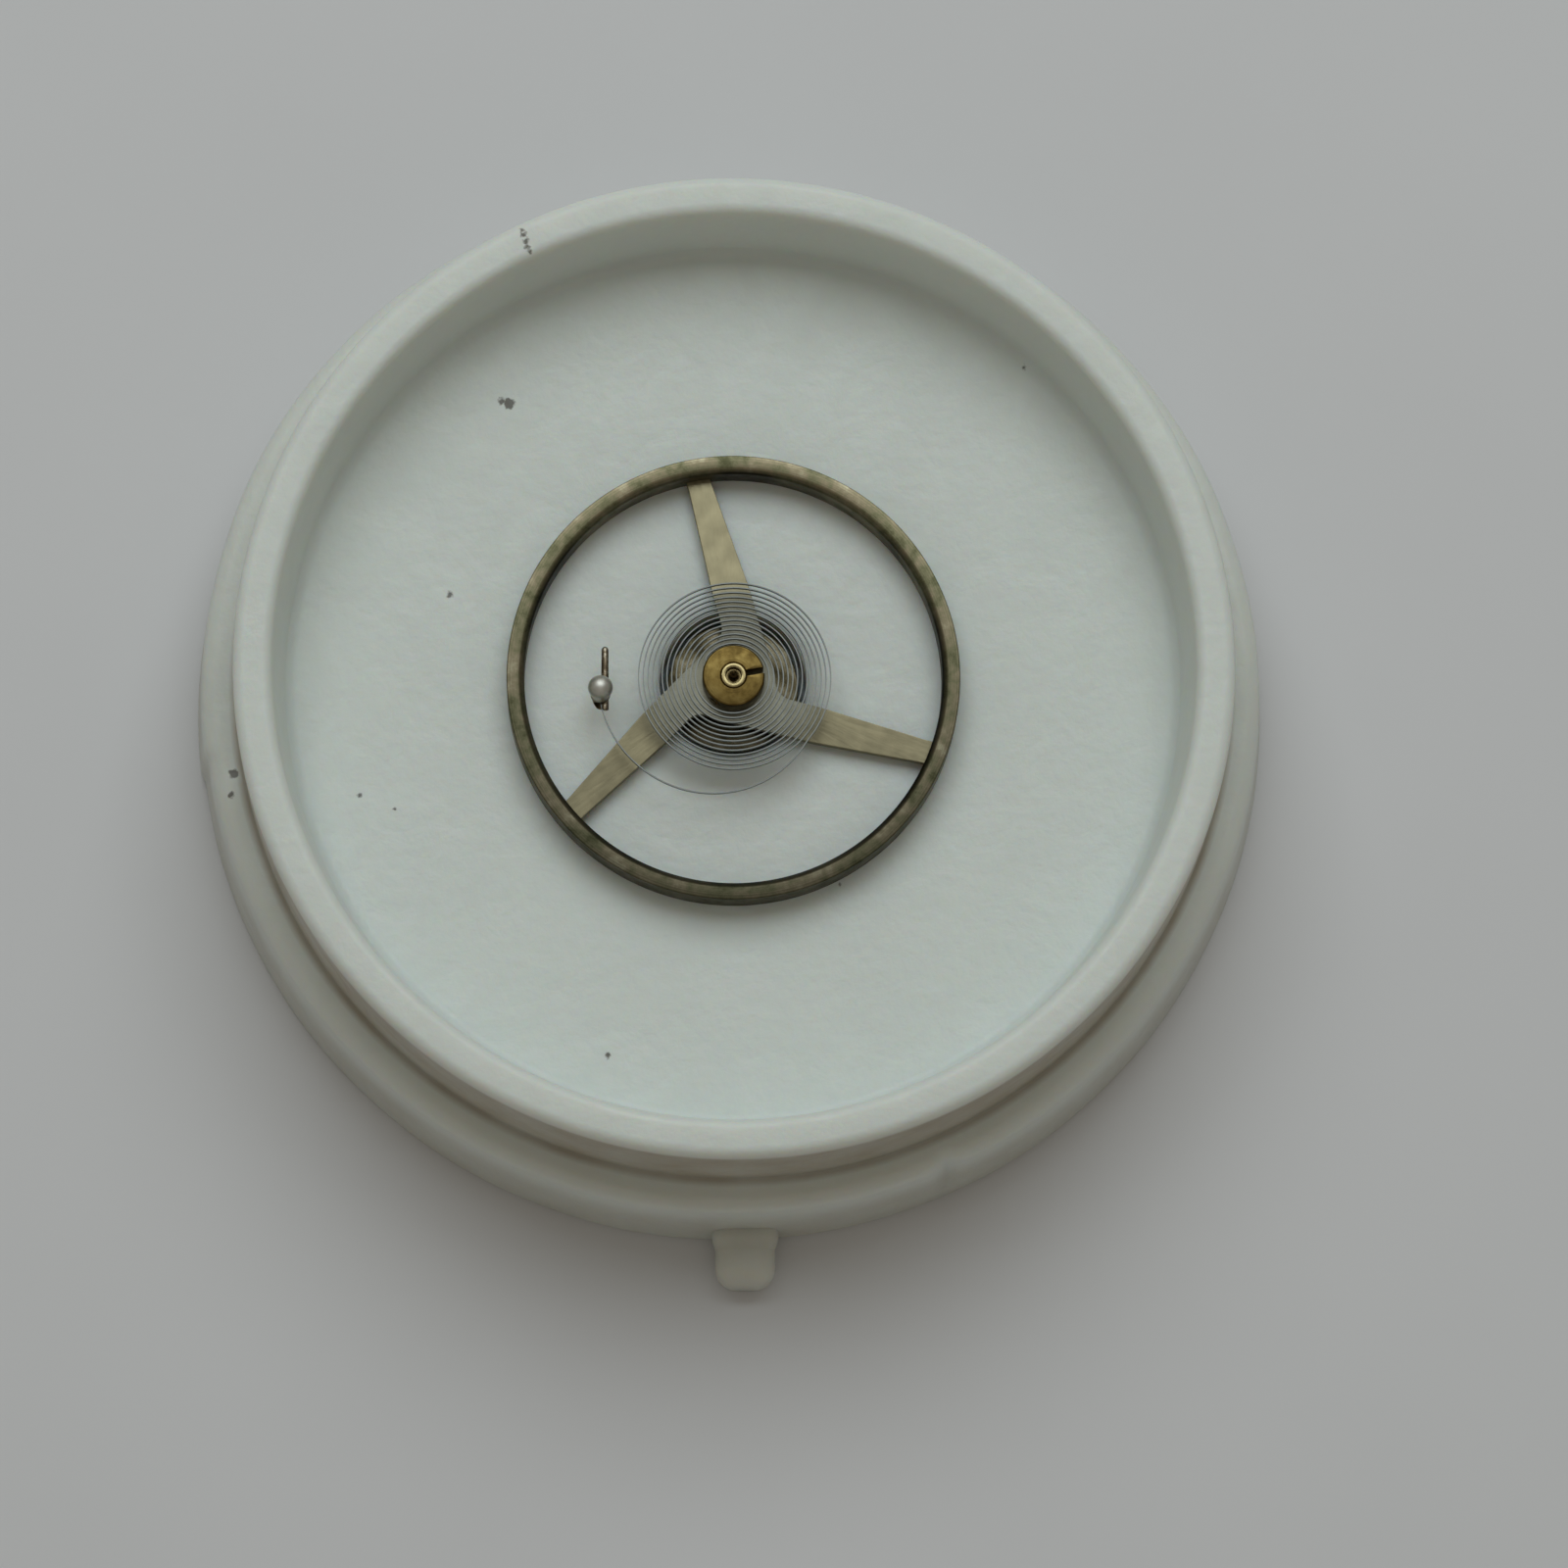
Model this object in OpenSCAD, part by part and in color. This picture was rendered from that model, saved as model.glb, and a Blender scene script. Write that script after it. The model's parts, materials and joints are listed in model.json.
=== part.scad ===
// A watch balance complete, lying in the round moulded dish that it is stored in.
// Millimetres, +Z up. The origin is the centre of the dish's foot, on the surface it stands on.

/* [Dish] */
// Radius of the flange at the height of the ledge
flange_r = 12.05; // [11.95:0.05:12.6]
// How much wider the skirt is at its foot than at the ledge
skirt_draft = 0.2; // [0:0.05:0.3]
// Height of the ledge that a cover stands on
ledge_z = 3.15; // [2.9:0.05:3.4]
// Radius of the rim's outer wall, which a cover slips over
rim_r = 11.2; // [11:0.05:11.3]
// Height of the rim's top above the foot
rim_z = 6.15; // [5.8:0.05:7]
// Thickness of the rim's wall at its top
rim_wall = 0.88; // [0.6:0.02:1]
// Height of the dish's floor above the foot
floor_z = 3.65; // [3.5:0.05:4.1]
// Wall thickness of the moulding
shell = 1; // [0.8:0.05:1.1]
// Radius of the solid boss under the middle of the floor
boss_r = 2.6; // [2.4:0.1:3.2]
// Radius of the centre well that takes the rollers
well_r = 1.65; // [1.6:0.05:1.9]
// Width of the gate nub left on the skirt
nub_w = 1.35; // [1:0.05:1.6]
// How far the gate nub stands out from the foot
nub_reach = 1.05; // [0.8:0.05:1.6]

/* [Balance wheel] */
// Outer radius of the wheel
wheel_r = 5.1; // [4.8:0.1:6]
// Width of the wheel's rim
wheel_rim_w = 0.4; // [0.3:0.05:0.6]
// Height of the wheel's rim
wheel_rim_h = 0.8; // [0.6:0.05:0.9]
// Number of arms
arm_count = 3; // [2:1:4]
// Thickness of the arms
arm_t = 0.2; // [0.15:0.01:0.2]
// Width of an arm where it meets the rim
arm_tip_w = 0.54; // [0.4:0.02:0.6]
// Width of an arm near the hub
arm_root_w = 0.84; // [0.7:0.02:0.84]
// Distance at which an arm's centre line passes the wheel's centre
arm_offset = 0.52; // [0.4:0.02:0.54]
// Radius of the wheel's hub
hub_r = 0.96; // [0.94:0.01:1.1]

/* [Staff and rollers] */
// Radius of the staff's pivots
pivot_r = 0.05; // [0.04:0.005:0.06]
// Radius of the staff where the rollers sit
roller_seat_r = 0.22; // [0.2:0.01:0.25]
// Radius of the staff where the wheel is riveted on
wheel_seat_r = 0.35; // [0.32:0.01:0.4]
// Radius of the staff where the collet sits
collet_seat_r = 0.28; // [0.25:0.01:0.3]
// Radius of the roller table
roller_r = 1.48; // [1.4:0.02:1.54]
// Radius of the safety roller
safety_r = 0.72; // [0.65:0.01:0.76]
// Radius of the half-round impulse jewel
jewel_r = 0.17; // [0.12:0.01:0.18]

/* [Hairspring] */
// Thickness of the hairspring's ribbon
ribbon_t = 0.025; // [0.025:0.005:0.045]
// Height of the hairspring's ribbon
ribbon_h = 0.12; // [0.1:0.01:0.16]
// Radius of the first coil
first_coil_r = 0.76; // [0.76:0.01:0.8]
// Radius at which the close coils end
last_coil_r = 2.2; // [2.1:0.05:2.4]
// Full turns between the first coil and the last
full_turns = 13; // [10:1:14]
// Radius at which the outer coil reaches the stud
stud_orbit_r = 3.05; // [2.9:0.01:3.3]

/* [Collet and stud] */
// Radius of the collet
collet_r = 0.7; // [0.69:0.01:0.72]
// Width of the slot that splits the collet
collet_slot = 0.14; // [0.1:0.01:0.2]
// Radius of the stud's domed head
stud_r = 0.28; // [0.25:0.01:0.32]
// Distance from the stud's head to its foot
stud_len = 0.6; // [0.5:0.02:0.6]
// How far the stud leans over on the end of the spring
stud_lean = 34; // [20:1:35]

/* [Hidden] */
$fn = 96;
cut = 0.1;

// Dish
foot_round = 0.2;
ledge_round = 0.35;
ledge_fillet = 0.1;
rim_round = 0.25;
wall_draft = 0.2;
floor_fillet = 0.3;
well_round = 0.1;
well_depth = 1.2;
pivot_hole_r = 0.3;
nub_h = 1.2;
nub_x = 0.33;

// Heights of the balance above the dish's floor
wheel_z = floor_z + 0.05;
arm_z = floor_z + 0.15;
arm_top = arm_z + arm_t;
roller_z = floor_z - 0.6;
roller_t = 0.2;
safety_z = floor_z - 1.1;
safety_t = 0.22;
seat_z = floor_z - 0.1;
lower_tip_z = floor_z - 1.75;
upper_tip_z = floor_z + 1.37;
pivot_len = 0.22;
collet_z = floor_z + 0.37;
collet_top = floor_z + 1;
spring_z = floor_z + 0.75;

// Wheel
rim_chamfer = 0.12;
tip_angles = 100;
hub_fillet = 0.45;
arm_tip_len = 0.6;
arm_taper_len = 2.5;
arm_reach = wheel_r - wheel_rim_w / 2;

// Rollers
jewel_orbit = 1.05;
jewel_angle = 73;
jewel_len = 0.72;
pipe_r = 0.42;
crescent_r = 0.26;
seat_flange_r = 0.6;

// Collet and the hole that holds the spring's inner end
slot_angle = 10;
pin_hole_r = 0.1;
pin_hole_d = 0.5;
spring_in_hole = 0.04;
collet_pin_r = 0.05;
collet_pin_len = 1.1;

// Hairspring
hole_turn = slot_angle + 90;
elbow_angle = -40;
outer_sweep = 136;
tail_sweep = 4;
step = 10;
entry_d = pin_hole_d + spring_in_hole;
entry_x = sqrt(first_coil_r ^ 2 - entry_d ^ 2);
entry_angle = hole_turn + atan2(entry_d, entry_x);
close_sweep = 360 * full_turns + entry_angle - elbow_angle;

// Stud
stud_x = -stud_orbit_r + 0.06;
stud_y = -0.3;
stud_z = floor_z + 1;
stud_neck_r = 0.22;
stud_foot_r = 0.11;
stud_hole_r = 0.15;
stud_hole_y = stud_y - (stud_z - spring_z) * tan(stud_lean);
stud_pin_r = 0.09;
stud_pin_side = 0.1;
stud_pin_len = 1.46;
stud_pin_end = 0.3;

function turned(p, a) = [p.x * cos(a) - p.y * sin(a), p.x * sin(a) + p.y * cos(a)];

function arc(centre, r, from, to, steps = 5) =
    [for (i = [0:steps]) let (a = from + (to - from) * i / steps) centre + r * [cos(a), sin(a)]];

function reversed(list) = [for (i = [len(list) - 1:-1:0]) list[i]];

// The unit vector square to a path at its point i
function across(path, i) =
    let (ahead = path[min(i + 1, len(path) - 1)], behind = path[max(i - 1, 0)])
    let (along = (ahead - behind) / norm(ahead - behind))
    [-along.y, along.x];

// The outline of a ribbon of one thickness that follows a path
function ribbon(path, thickness) =
    let (half = thickness / 2)
    let (left = [for (i = [0:len(path) - 1]) path[i] + half * across(path, i)])
    let (right = [for (i = [0:len(path) - 1]) path[i] - half * across(path, i)])
    concat(left, reversed(right));

// The dish's cross-section: radius and height, from the foot round to the pivot hole
function dish_section() =
    let (foot_r = flange_r + skirt_draft, step_in = rim_r - shell)
    let (rim_in = rim_r - rim_wall, floor_r = rim_in - wall_draft)
    let (well_z = floor_z - well_depth)
    concat(
        [[0, 0], [boss_r, 0], [boss_r, floor_z - shell], [step_in, floor_z - shell]],
        [[step_in, ledge_z - shell], [flange_r - shell, ledge_z - shell], [foot_r - shell, 0]],
        arc([foot_r - foot_round, foot_round], foot_round, -90, 0, 3),
        arc([flange_r - ledge_round, ledge_z - ledge_round], ledge_round, 0, 90),
        arc([rim_r + ledge_fillet, ledge_z + ledge_fillet], ledge_fillet, 270, 180, 3),
        arc([rim_r - rim_round, rim_z - rim_round], rim_round, 0, 90),
        arc([rim_in + rim_round, rim_z - rim_round], rim_round, 90, 180),
        arc([floor_r - floor_fillet, floor_z + floor_fillet], floor_fillet, 0, -90),
        arc([well_r + well_round, floor_z - well_round], well_round, 90, 180, 3),
        [[well_r, well_z], [pivot_hole_r, well_z]],
        [[pivot_hole_r, lower_tip_z - 0.02], [0, lower_tip_z - 0.02]]);

module gate_nub() {
    end_y = -(flange_r + skirt_draft + nub_reach - nub_w / 2);
    translate([nub_x, end_y, 0])
        cylinder(h = nub_h, r = nub_w / 2);
    translate([nub_x - nub_w / 2, end_y, 0])
        cube([nub_w, -end_y - flange_r + shell / 2, nub_h]);
}

module dish() {
    color("#e3e8e5") {
        rotate_extrude() polygon(dish_section());
        gate_nub();
    }
}

// Half of an arm's width at a distance from the hub: it tapers evenly out to the rim
function arm_half(x) =
    let (inward = min(max((wheel_r - arm_tip_len - x) / arm_taper_len, 0), 1))
    (arm_tip_w + (arm_root_w - arm_tip_w) * inward) / 2;

// One arm seen from above, along +X, with a fillet where its inner edge meets the hub
module arm_outline() {
    edge = arm_half(0) - arm_offset;
    fillet_y = edge + hub_fillet;
    fillet_x = sqrt((hub_r + hub_fillet) ^ 2 - fillet_y ^ 2);
    far = [for (x = [fillet_x:0.3:arm_reach]) [x, arm_half(x) - arm_offset]];
    near = [for (x = [arm_reach:-0.3:0]) [x, -arm_half(x) - arm_offset]];
    to_hub = atan2(-fillet_y, -fillet_x) + 360;
    corner = arc([fillet_x, fillet_y], hub_fillet, to_hub, 270, 6);
    polygon(concat([[0, 0]], corner, far, near));
}

module wheel_rim() {
    inner = wheel_r - wheel_rim_w;
    top = wheel_z + wheel_rim_h;
    rotate_extrude()
        polygon([[inner, wheel_z], [wheel_r, wheel_z], [wheel_r, top],
                 [inner + rim_chamfer, top], [inner, top - rim_chamfer]]);
}

module balance_wheel() {
    color("#8d8869") difference() {
        union() {
            wheel_rim();
            translate([0, 0, arm_z]) linear_extrude(arm_t) {
                circle(hub_r);
                for (i = [0:arm_count - 1])
                    rotate(tip_angles + 360 * i / arm_count + asin(arm_offset / arm_reach))
                        arm_outline();
            }
        }
        translate([0, 0, arm_z - cut]) cylinder(h = arm_t + 2 * cut, r = wheel_seat_r);
    }
}

module balance_staff() {
    shoulder_z = safety_z - 0.15;
    neck_z = collet_top - 0.05;
    color("#b9b6ad") rotate_extrude()
        polygon([[0, lower_tip_z], [pivot_r, lower_tip_z], [pivot_r, lower_tip_z + pivot_len],
                 [roller_seat_r, shoulder_z], [roller_seat_r, seat_z - 0.3],
                 [seat_flange_r, seat_z], [seat_flange_r, arm_z], [wheel_seat_r, arm_z],
                 [wheel_seat_r, arm_top], [collet_seat_r, arm_top], [collet_seat_r, neck_z],
                 [pivot_r + 0.06, upper_tip_z - pivot_len], [pivot_r, upper_tip_z - pivot_len],
                 [pivot_r, upper_tip_z], [0, upper_tip_z]]);
}

module roller_table() {
    color("#8a7750") difference() {
        union() {
            translate([0, 0, roller_z]) cylinder(h = roller_t, r = roller_r);
            translate([0, 0, safety_z + safety_t])
                cylinder(h = roller_z - safety_z - safety_t, r = pipe_r);
        }
        translate([0, 0, safety_z]) cylinder(h = 1, r = roller_seat_r);
        rotate(jewel_angle) translate([jewel_orbit, 0, roller_z - cut])
            cylinder(h = roller_t + 2 * cut, r = jewel_r);
    }
}

module safety_roller() {
    color("#9a8455") difference() {
        translate([0, 0, safety_z]) cylinder(h = safety_t, r = safety_r);
        translate([0, 0, safety_z - cut]) cylinder(h = safety_t + 2 * cut, r = roller_seat_r);
        rotate(jewel_angle) translate([safety_r + crescent_r / 3, 0, safety_z - cut])
            cylinder(h = safety_t + 2 * cut, r = crescent_r);
    }
}

module impulse_jewel() {
    top = roller_z + roller_t;
    color("#a51d3c") rotate(jewel_angle) difference() {
        translate([jewel_orbit, 0, top - jewel_len]) cylinder(h = jewel_len, r = jewel_r);
        translate([jewel_orbit + jewel_r / 3, -jewel_r, top - jewel_len - cut])
            cube([jewel_r, 2 * jewel_r, jewel_len - roller_t + cut]);
    }
}

module collet() {
    color("#a8813f") difference() {
        translate([0, 0, collet_z]) cylinder(h = collet_top - collet_z, r = collet_r);
        translate([0, 0, collet_z - cut]) cylinder(h = 1, r = collet_seat_r);
        rotate(slot_angle) translate([0, -collet_slot / 2, collet_z - cut])
            cube([1, collet_slot, 1]);
        rotate(hole_turn) translate([-1, pin_hole_d, spring_z])
            rotate([0, 90, 0]) cylinder(h = 2, r = pin_hole_r);
    }
}

module collet_pin() {
    color("#b08a48") rotate(hole_turn)
        translate([-collet_pin_len / 2, pin_hole_d - spring_in_hole, spring_z])
            rotate([0, 90, 0]) cylinder(h = collet_pin_len, r = collet_pin_r);
}

// Radius of the outer coil, an angle past the elbow where it leaves the close coils
function outer_r(a) =
    last_coil_r + (stud_orbit_r - last_coil_r) * sin(90 * a / outer_sweep) ^ 1.15;

// Path of the spring: out of the collet, round the close coils clockwise, then out to the stud
function spring_path() =
    let (growth = (last_coil_r - first_coil_r) / close_sweep)
    let (inside = [for (x = [-0.3:0.2:entry_x - 0.1]) turned([x, entry_d], hole_turn)])
    let (close = [for (a = [0:step:close_sweep - step / 2])
        turned([first_coil_r + growth * a, 0], entry_angle - a)])
    let (outer = [for (a = [0:step:outer_sweep + tail_sweep])
        turned([outer_r(a), 0], elbow_angle - a)])
    concat(inside, close, outer);

module hairspring() {
    color("#7d828c") translate([0, 0, spring_z - ribbon_h / 2])
        linear_extrude(ribbon_h) polygon(ribbon(spring_path(), ribbon_t));
}

module stud() {
    color("#c9c8c2") difference() {
        translate([stud_x, stud_y, stud_z]) rotate([-stud_lean, 0, 0]) {
            sphere(stud_r);
            translate([0, 0, -stud_len / 2])
                cylinder(h = stud_len / 2, r1 = stud_neck_r, r2 = stud_neck_r + 0.02);
            translate([0, 0, -stud_len])
                cylinder(h = stud_len / 2, r1 = stud_foot_r, r2 = stud_neck_r);
        }
        translate([stud_x, stud_hole_y - 1, spring_z])
            rotate([-90, 0, 0]) cylinder(h = 2, r = stud_hole_r);
    }
}

module stud_pin() {
    color("#8c7a5e") translate([stud_x + stud_pin_side, stud_hole_y - stud_pin_end, spring_z])
        rotate([-90, 0, 0]) cylinder(h = stud_pin_len, r1 = stud_pin_r, r2 = stud_pin_r * 0.8);
}

dish();
balance_wheel();
balance_staff();
roller_table();
safety_roller();
impulse_jewel();
collet();
collet_pin();
hairspring();
stud();
stud_pin();
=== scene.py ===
"""A watch balance complete in its moulded dish, as a set of operators that build it piece by piece."""

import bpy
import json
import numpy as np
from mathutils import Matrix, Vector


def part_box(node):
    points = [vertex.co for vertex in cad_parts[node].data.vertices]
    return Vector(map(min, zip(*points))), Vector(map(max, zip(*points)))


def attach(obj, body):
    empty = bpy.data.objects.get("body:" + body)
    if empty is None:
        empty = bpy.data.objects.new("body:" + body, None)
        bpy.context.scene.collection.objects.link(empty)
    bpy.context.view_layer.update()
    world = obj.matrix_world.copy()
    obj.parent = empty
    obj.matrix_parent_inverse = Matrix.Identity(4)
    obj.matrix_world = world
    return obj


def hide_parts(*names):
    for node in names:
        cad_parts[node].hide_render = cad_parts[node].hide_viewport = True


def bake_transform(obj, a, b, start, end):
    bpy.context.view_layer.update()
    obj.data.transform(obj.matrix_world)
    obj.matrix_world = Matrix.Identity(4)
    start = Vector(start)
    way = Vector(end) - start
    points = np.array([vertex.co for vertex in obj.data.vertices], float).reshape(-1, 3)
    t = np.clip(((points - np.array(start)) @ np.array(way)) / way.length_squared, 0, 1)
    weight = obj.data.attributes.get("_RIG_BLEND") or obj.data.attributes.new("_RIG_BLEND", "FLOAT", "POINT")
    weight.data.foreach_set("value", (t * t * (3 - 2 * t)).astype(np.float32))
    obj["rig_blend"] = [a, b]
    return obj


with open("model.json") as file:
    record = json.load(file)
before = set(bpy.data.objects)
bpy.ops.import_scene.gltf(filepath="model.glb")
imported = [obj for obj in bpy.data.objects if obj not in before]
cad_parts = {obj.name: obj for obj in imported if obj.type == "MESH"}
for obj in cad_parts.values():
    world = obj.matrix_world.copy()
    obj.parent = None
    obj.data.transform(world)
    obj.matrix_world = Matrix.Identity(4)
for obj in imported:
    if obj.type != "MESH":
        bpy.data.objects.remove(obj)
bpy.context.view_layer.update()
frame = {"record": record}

import json
import math

import bmesh
import bpy
from mathutils import Matrix, Vector

bl_info = {
    "name": "Watch Balance in a Dish",
    "version": (1, 0, 0),
    "blender": (4, 5, 0),
    "location": "3D View > Sidebar > Balance",
    "description": "Builds a watch balance complete, lying in a round moulded storage dish",
    "category": "Object",
}

MM = 0.001
TAU = math.tau


# ---------------------------------------------------------------- places taken from the frame

def mount(name):
    """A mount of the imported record, by name."""
    return next(m for m in frame["record"]["mounts"] if m["name"] == name)


def low(node):
    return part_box(node)[0]


def high(node):
    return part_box(node)[1]


COVER = mount("cover_seat")
RIM_R = COVER["dims"]["r_mm"] * MM
FOOT_R = high("dish").x
SKIRT_DRAFT = 0.2 * MM
FLANGE_R = FOOT_R - SKIRT_DRAFT
RIM_Z = high("dish").z
LEDGE_FILLET = 0.1 * MM
LEDGE_Z = COVER["pos_m"][2] - COVER["dims"]["length_mm"] * MM / 2 - LEDGE_FILLET
WHEEL_R = high("balance_wheel").x
WHEEL_Z = (low("balance_wheel").z, high("balance_wheel").z)
FLOOR_Z = WHEEL_Z[0] - 0.05 * MM
ARM_Z = FLOOR_Z + 0.15 * MM
ARM_T = 0.2 * MM
# How far out the arms run, into the metal of the rim
ARM_REACH = WHEEL_R - 0.2 * MM
HUB_BORE = 0.34 * MM
STAFF_Z = (low("balance_staff").z, high("balance_staff").z)
ROLLER_Z = (low("roller_table").z, high("roller_table").z)
ROLLER_R = high("roller_table").x
SAFETY_Z = (low("safety_roller").z, high("safety_roller").z)
SAFETY_R = -low("safety_roller").x
COLLET_Z = (low("collet").z, high("collet").z)
COLLET_R = -low("collet").x
SPRING_Z = (low("hairspring").z + high("hairspring").z) / 2
PIVOT_R = mount("upper_pivot")["dims"]["r_mm"] * MM
PIVOT_LEN = mount("upper_pivot")["dims"]["length_mm"] * MM
STUD_HEAD_R = 0.28 * MM
STUD_X = (low("stud").x + high("stud").x) / 2
STUD_HEAD_Z = high("stud").z - STUD_HEAD_R
STUD_HEAD_Y = high("stud").y - STUD_HEAD_R
# The height at which the stud's bright head turns to its foot, painted brown as shade
STUD_TINT_Z = STUD_HEAD_Z - 0.07 * MM
# Where the step of flash and the nick are on the dish's flange, in degrees
FLASH_ANGLE = 188
NICK_ANGLE = 294
# Specks of dust and lint on the dish: where each lies in plan, and its radius, in millimetres
DUST = (
    (-5.1, 6.5, 0.14), (-5.25, 6.55, 0.09), (-6.4, 2.05, 0.08), (-8.4, -2.6, 0.06), (-7.6, -2.9, 0.05),
    (-2.8, -8.5, 0.08), (9.7, -3.0, 0.07), (6.6, 7.4, 0.06), (-4.8, 9.9, 0.06), (-4.74, 9.78, 0.08),
    (-4.7, 9.64, 0.08), (-4.68, 9.5, 0.07), (-4.6, 9.4, 0.05), (-11.25, -2.0, 0.12), (-11.3, -2.5, 0.08),
    (-7.3, -9.8, 0.08), (2.4, -4.6, 0.04))
# Half the width of the surface under the dish, and how far off the lights hang, in metres
FLOOR_HALF = 0.4
LIGHT_DISTANCE = 0.32
# The card gives back this share of the window's light
CARD_SHARE = 0.06
# Points of the arms that are closer than this are one point
WELD = 2e-7
ARM_STEPS = 24
# The edge that is broken on the smallest pieces
FINE_EDGE = 0.012 * MM
SPRING_POINTS = 1500
# In the collet's hole the ribbon lies this far outside the middle, and the taper pin as far inside it
PIN_SIDE = 0.04 * MM


# ---------------------------------------------------------------- small helpers

def srgb(code):
    """The linear colour of an sRGB hex code."""
    parts = [int(code[i:i + 2], 16) / 255 for i in (1, 3, 5)]
    return tuple(c / 12.92 if c <= 0.04045 else ((c + 0.055) / 1.055) ** 2.4 for c in parts) + (1.0,)


def feed(tree, node, inputs):
    """Sets or links a node's inputs, by name or in their own order. A node stands for its first output."""
    for key, value in inputs.items() if isinstance(inputs, dict) else enumerate(inputs):
        if isinstance(value, bpy.types.Node):
            value = value.outputs[0]
        if isinstance(value, bpy.types.NodeSocket):
            tree.links.new(value, node.inputs[key])
        else:
            node.inputs[key].default_value = value


def add(tree, kind, inputs=(), **settings):
    """Adds a node with its settings, and sets or links its inputs."""
    node = tree.nodes.new(kind)
    for name, value in settings.items():
        setattr(node, name, value)
    feed(tree, node, inputs)
    return node


def arc(centre, radius, start, end, steps=8):
    """Points on an arc in a section, from one angle to another in degrees."""
    angles = [math.radians(start + (end - start) * i / steps) for i in range(steps + 1)]
    return [(centre[0] + radius * math.cos(a), centre[1] + radius * math.sin(a)) for a in angles]


def smooth(t):
    t = min(max(t, 0.0), 1.0)
    return t * t * (3 - 2 * t)


def turn(points, angle):
    """Plan points, turned about the axis."""
    c, s = math.cos(angle), math.sin(angle)
    return [(x * c - y * s, x * s + y * c) for x, y in points]


def polar(distance, angle):
    """The point in plan at a distance and an angle from the axis."""
    return Vector((distance * math.cos(angle), distance * math.sin(angle), 0))


def as_object(name, mesh):
    obj = bpy.data.objects.new(name, mesh)
    bpy.context.scene.collection.objects.link(obj)
    return obj


def closed_mesh(name, bm):
    """Turns a bmesh into a closed mesh whose faces point outward."""
    bmesh.ops.remove_doubles(bm, verts=bm.verts, dist=1e-8)
    bmesh.ops.recalc_face_normals(bm, faces=bm.faces)
    mesh = bpy.data.meshes.new(name)
    bm.to_mesh(mesh)
    bm.free()
    return mesh


def lathe(name, outline, segments, stray=None):
    """A turned shape. The outline is radius and height, from axis to axis or a closed loop of its own.
    stray(radius, height, angle) gives how far a point moves outward and upward."""
    bm = bmesh.new()
    rings = []
    for r, z in outline:
        if r < 1e-9:
            rings.append([bm.verts.new((0, 0, z))])
            continue
        ring = []
        for k in range(segments):
            a = TAU * k / segments
            out, up = stray(r, z, a) if stray else (0, 0)
            ring.append(bm.verts.new(((r + out) * math.cos(a), (r + out) * math.sin(a), z + up)))
        rings.append(ring)
    loop = outline[0][0] > 1e-9
    pairs = list(zip(rings, rings[1:])) + ([(rings[-1], rings[0])] if loop else [])
    for one, two in pairs:
        for k in range(segments):
            j = (k + 1) % segments
            corners = [one[k % len(one)], one[j % len(one)], two[j % len(two)], two[k % len(two)]]
            corners = list(dict.fromkeys(corners))
            if len(corners) > 2:
                bm.faces.new(corners)
    return as_object(name, closed_mesh(name, bm))


def drill(name, radius, bottom, top, segments):
    """A plain cylinder on the axis, to cut with."""
    return lathe(name, [(0, bottom), (radius, bottom), (radius, top), (0, top)], segments)


def slab(name, outline, bottom, top):
    """A flat plate with one outline in plan."""
    bm = bmesh.new()
    lower = [bm.verts.new((x, y, bottom)) for x, y in outline]
    upper = [bm.verts.new((x, y, top)) for x, y in outline]
    bm.faces.new(lower)
    bm.faces.new(upper)
    for i in range(len(outline)):
        j = (i + 1) % len(outline)
        bm.faces.new((lower[i], lower[j], upper[j], upper[i]))
    return as_object(name, closed_mesh(name, bm))


def settle(obj):
    """Replaces a piece's mesh by what its modifiers make of it, and removes the modifiers."""
    bpy.context.view_layer.update()
    graph = bpy.context.evaluated_depsgraph_get()
    mesh = bpy.data.meshes.new_from_object(obj.evaluated_get(graph), depsgraph=graph)
    obj.modifiers.clear()
    obj.data = mesh


def carve(obj, *others, operation="DIFFERENCE"):
    """Cuts other shapes out of a piece, or welds them onto it."""
    for other in others:
        modifier = obj.modifiers.new("carve", "BOOLEAN")
        modifier.operation = operation
        modifier.object = other
        modifier.solver = "EXACT"
        modifier.material_mode = "TRANSFER"
    settle(obj)
    for other in others:
        bpy.data.objects.remove(other)


def bevel(obj, width, angle):
    """Breaks the edges that are sharper than an angle in degrees."""
    modifier = obj.modifiers.new("edge", "BEVEL")
    modifier.width = width
    modifier.segments = 2
    modifier.limit_method = "ANGLE"
    modifier.angle_limit = math.radians(angle)
    modifier.use_clamp_overlap = True
    settle(obj)


def place(obj, matrix):
    """Moves a piece's mesh, so that its object stays at the origin."""
    obj.data.transform(matrix)
    return obj


def dress(obj, material):
    obj.data.materials.clear()
    obj.data.materials.append(material)
    return obj


def hand_over(obj, body, node, crease=32):
    """Shades a finished piece, hangs it on the body it rides on, and hides the CAD node it stands for."""
    obj.data.shade_smooth()
    obj.data.set_sharp_from_angle(angle=math.radians(crease))
    # A flat face keeps its own direction, so that only the broken edge round it looks round
    facing = obj.modifiers.new("facing", "WEIGHTED_NORMAL")
    facing.keep_sharp = True
    settle(obj)
    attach(obj, body)
    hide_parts(node)


# ---------------------------------------------------------------- materials
# A map range is given its value, the two ends it comes from and, if they aren't 0 and 1, the two it goes to

def blank(name):
    """A new material, its node tree, its shader and its object coordinates."""
    material = bpy.data.materials.new(name)
    material.use_nodes = True
    tree = material.node_tree
    tree.nodes.clear()
    shader = add(tree, "ShaderNodeBsdfPrincipled")
    add(tree, "ShaderNodeOutputMaterial", {"Surface": shader.outputs["BSDF"]})
    coords = add(tree, "ShaderNodeTexCoord").outputs["Object"]
    return material, tree, shader, coords


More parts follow.
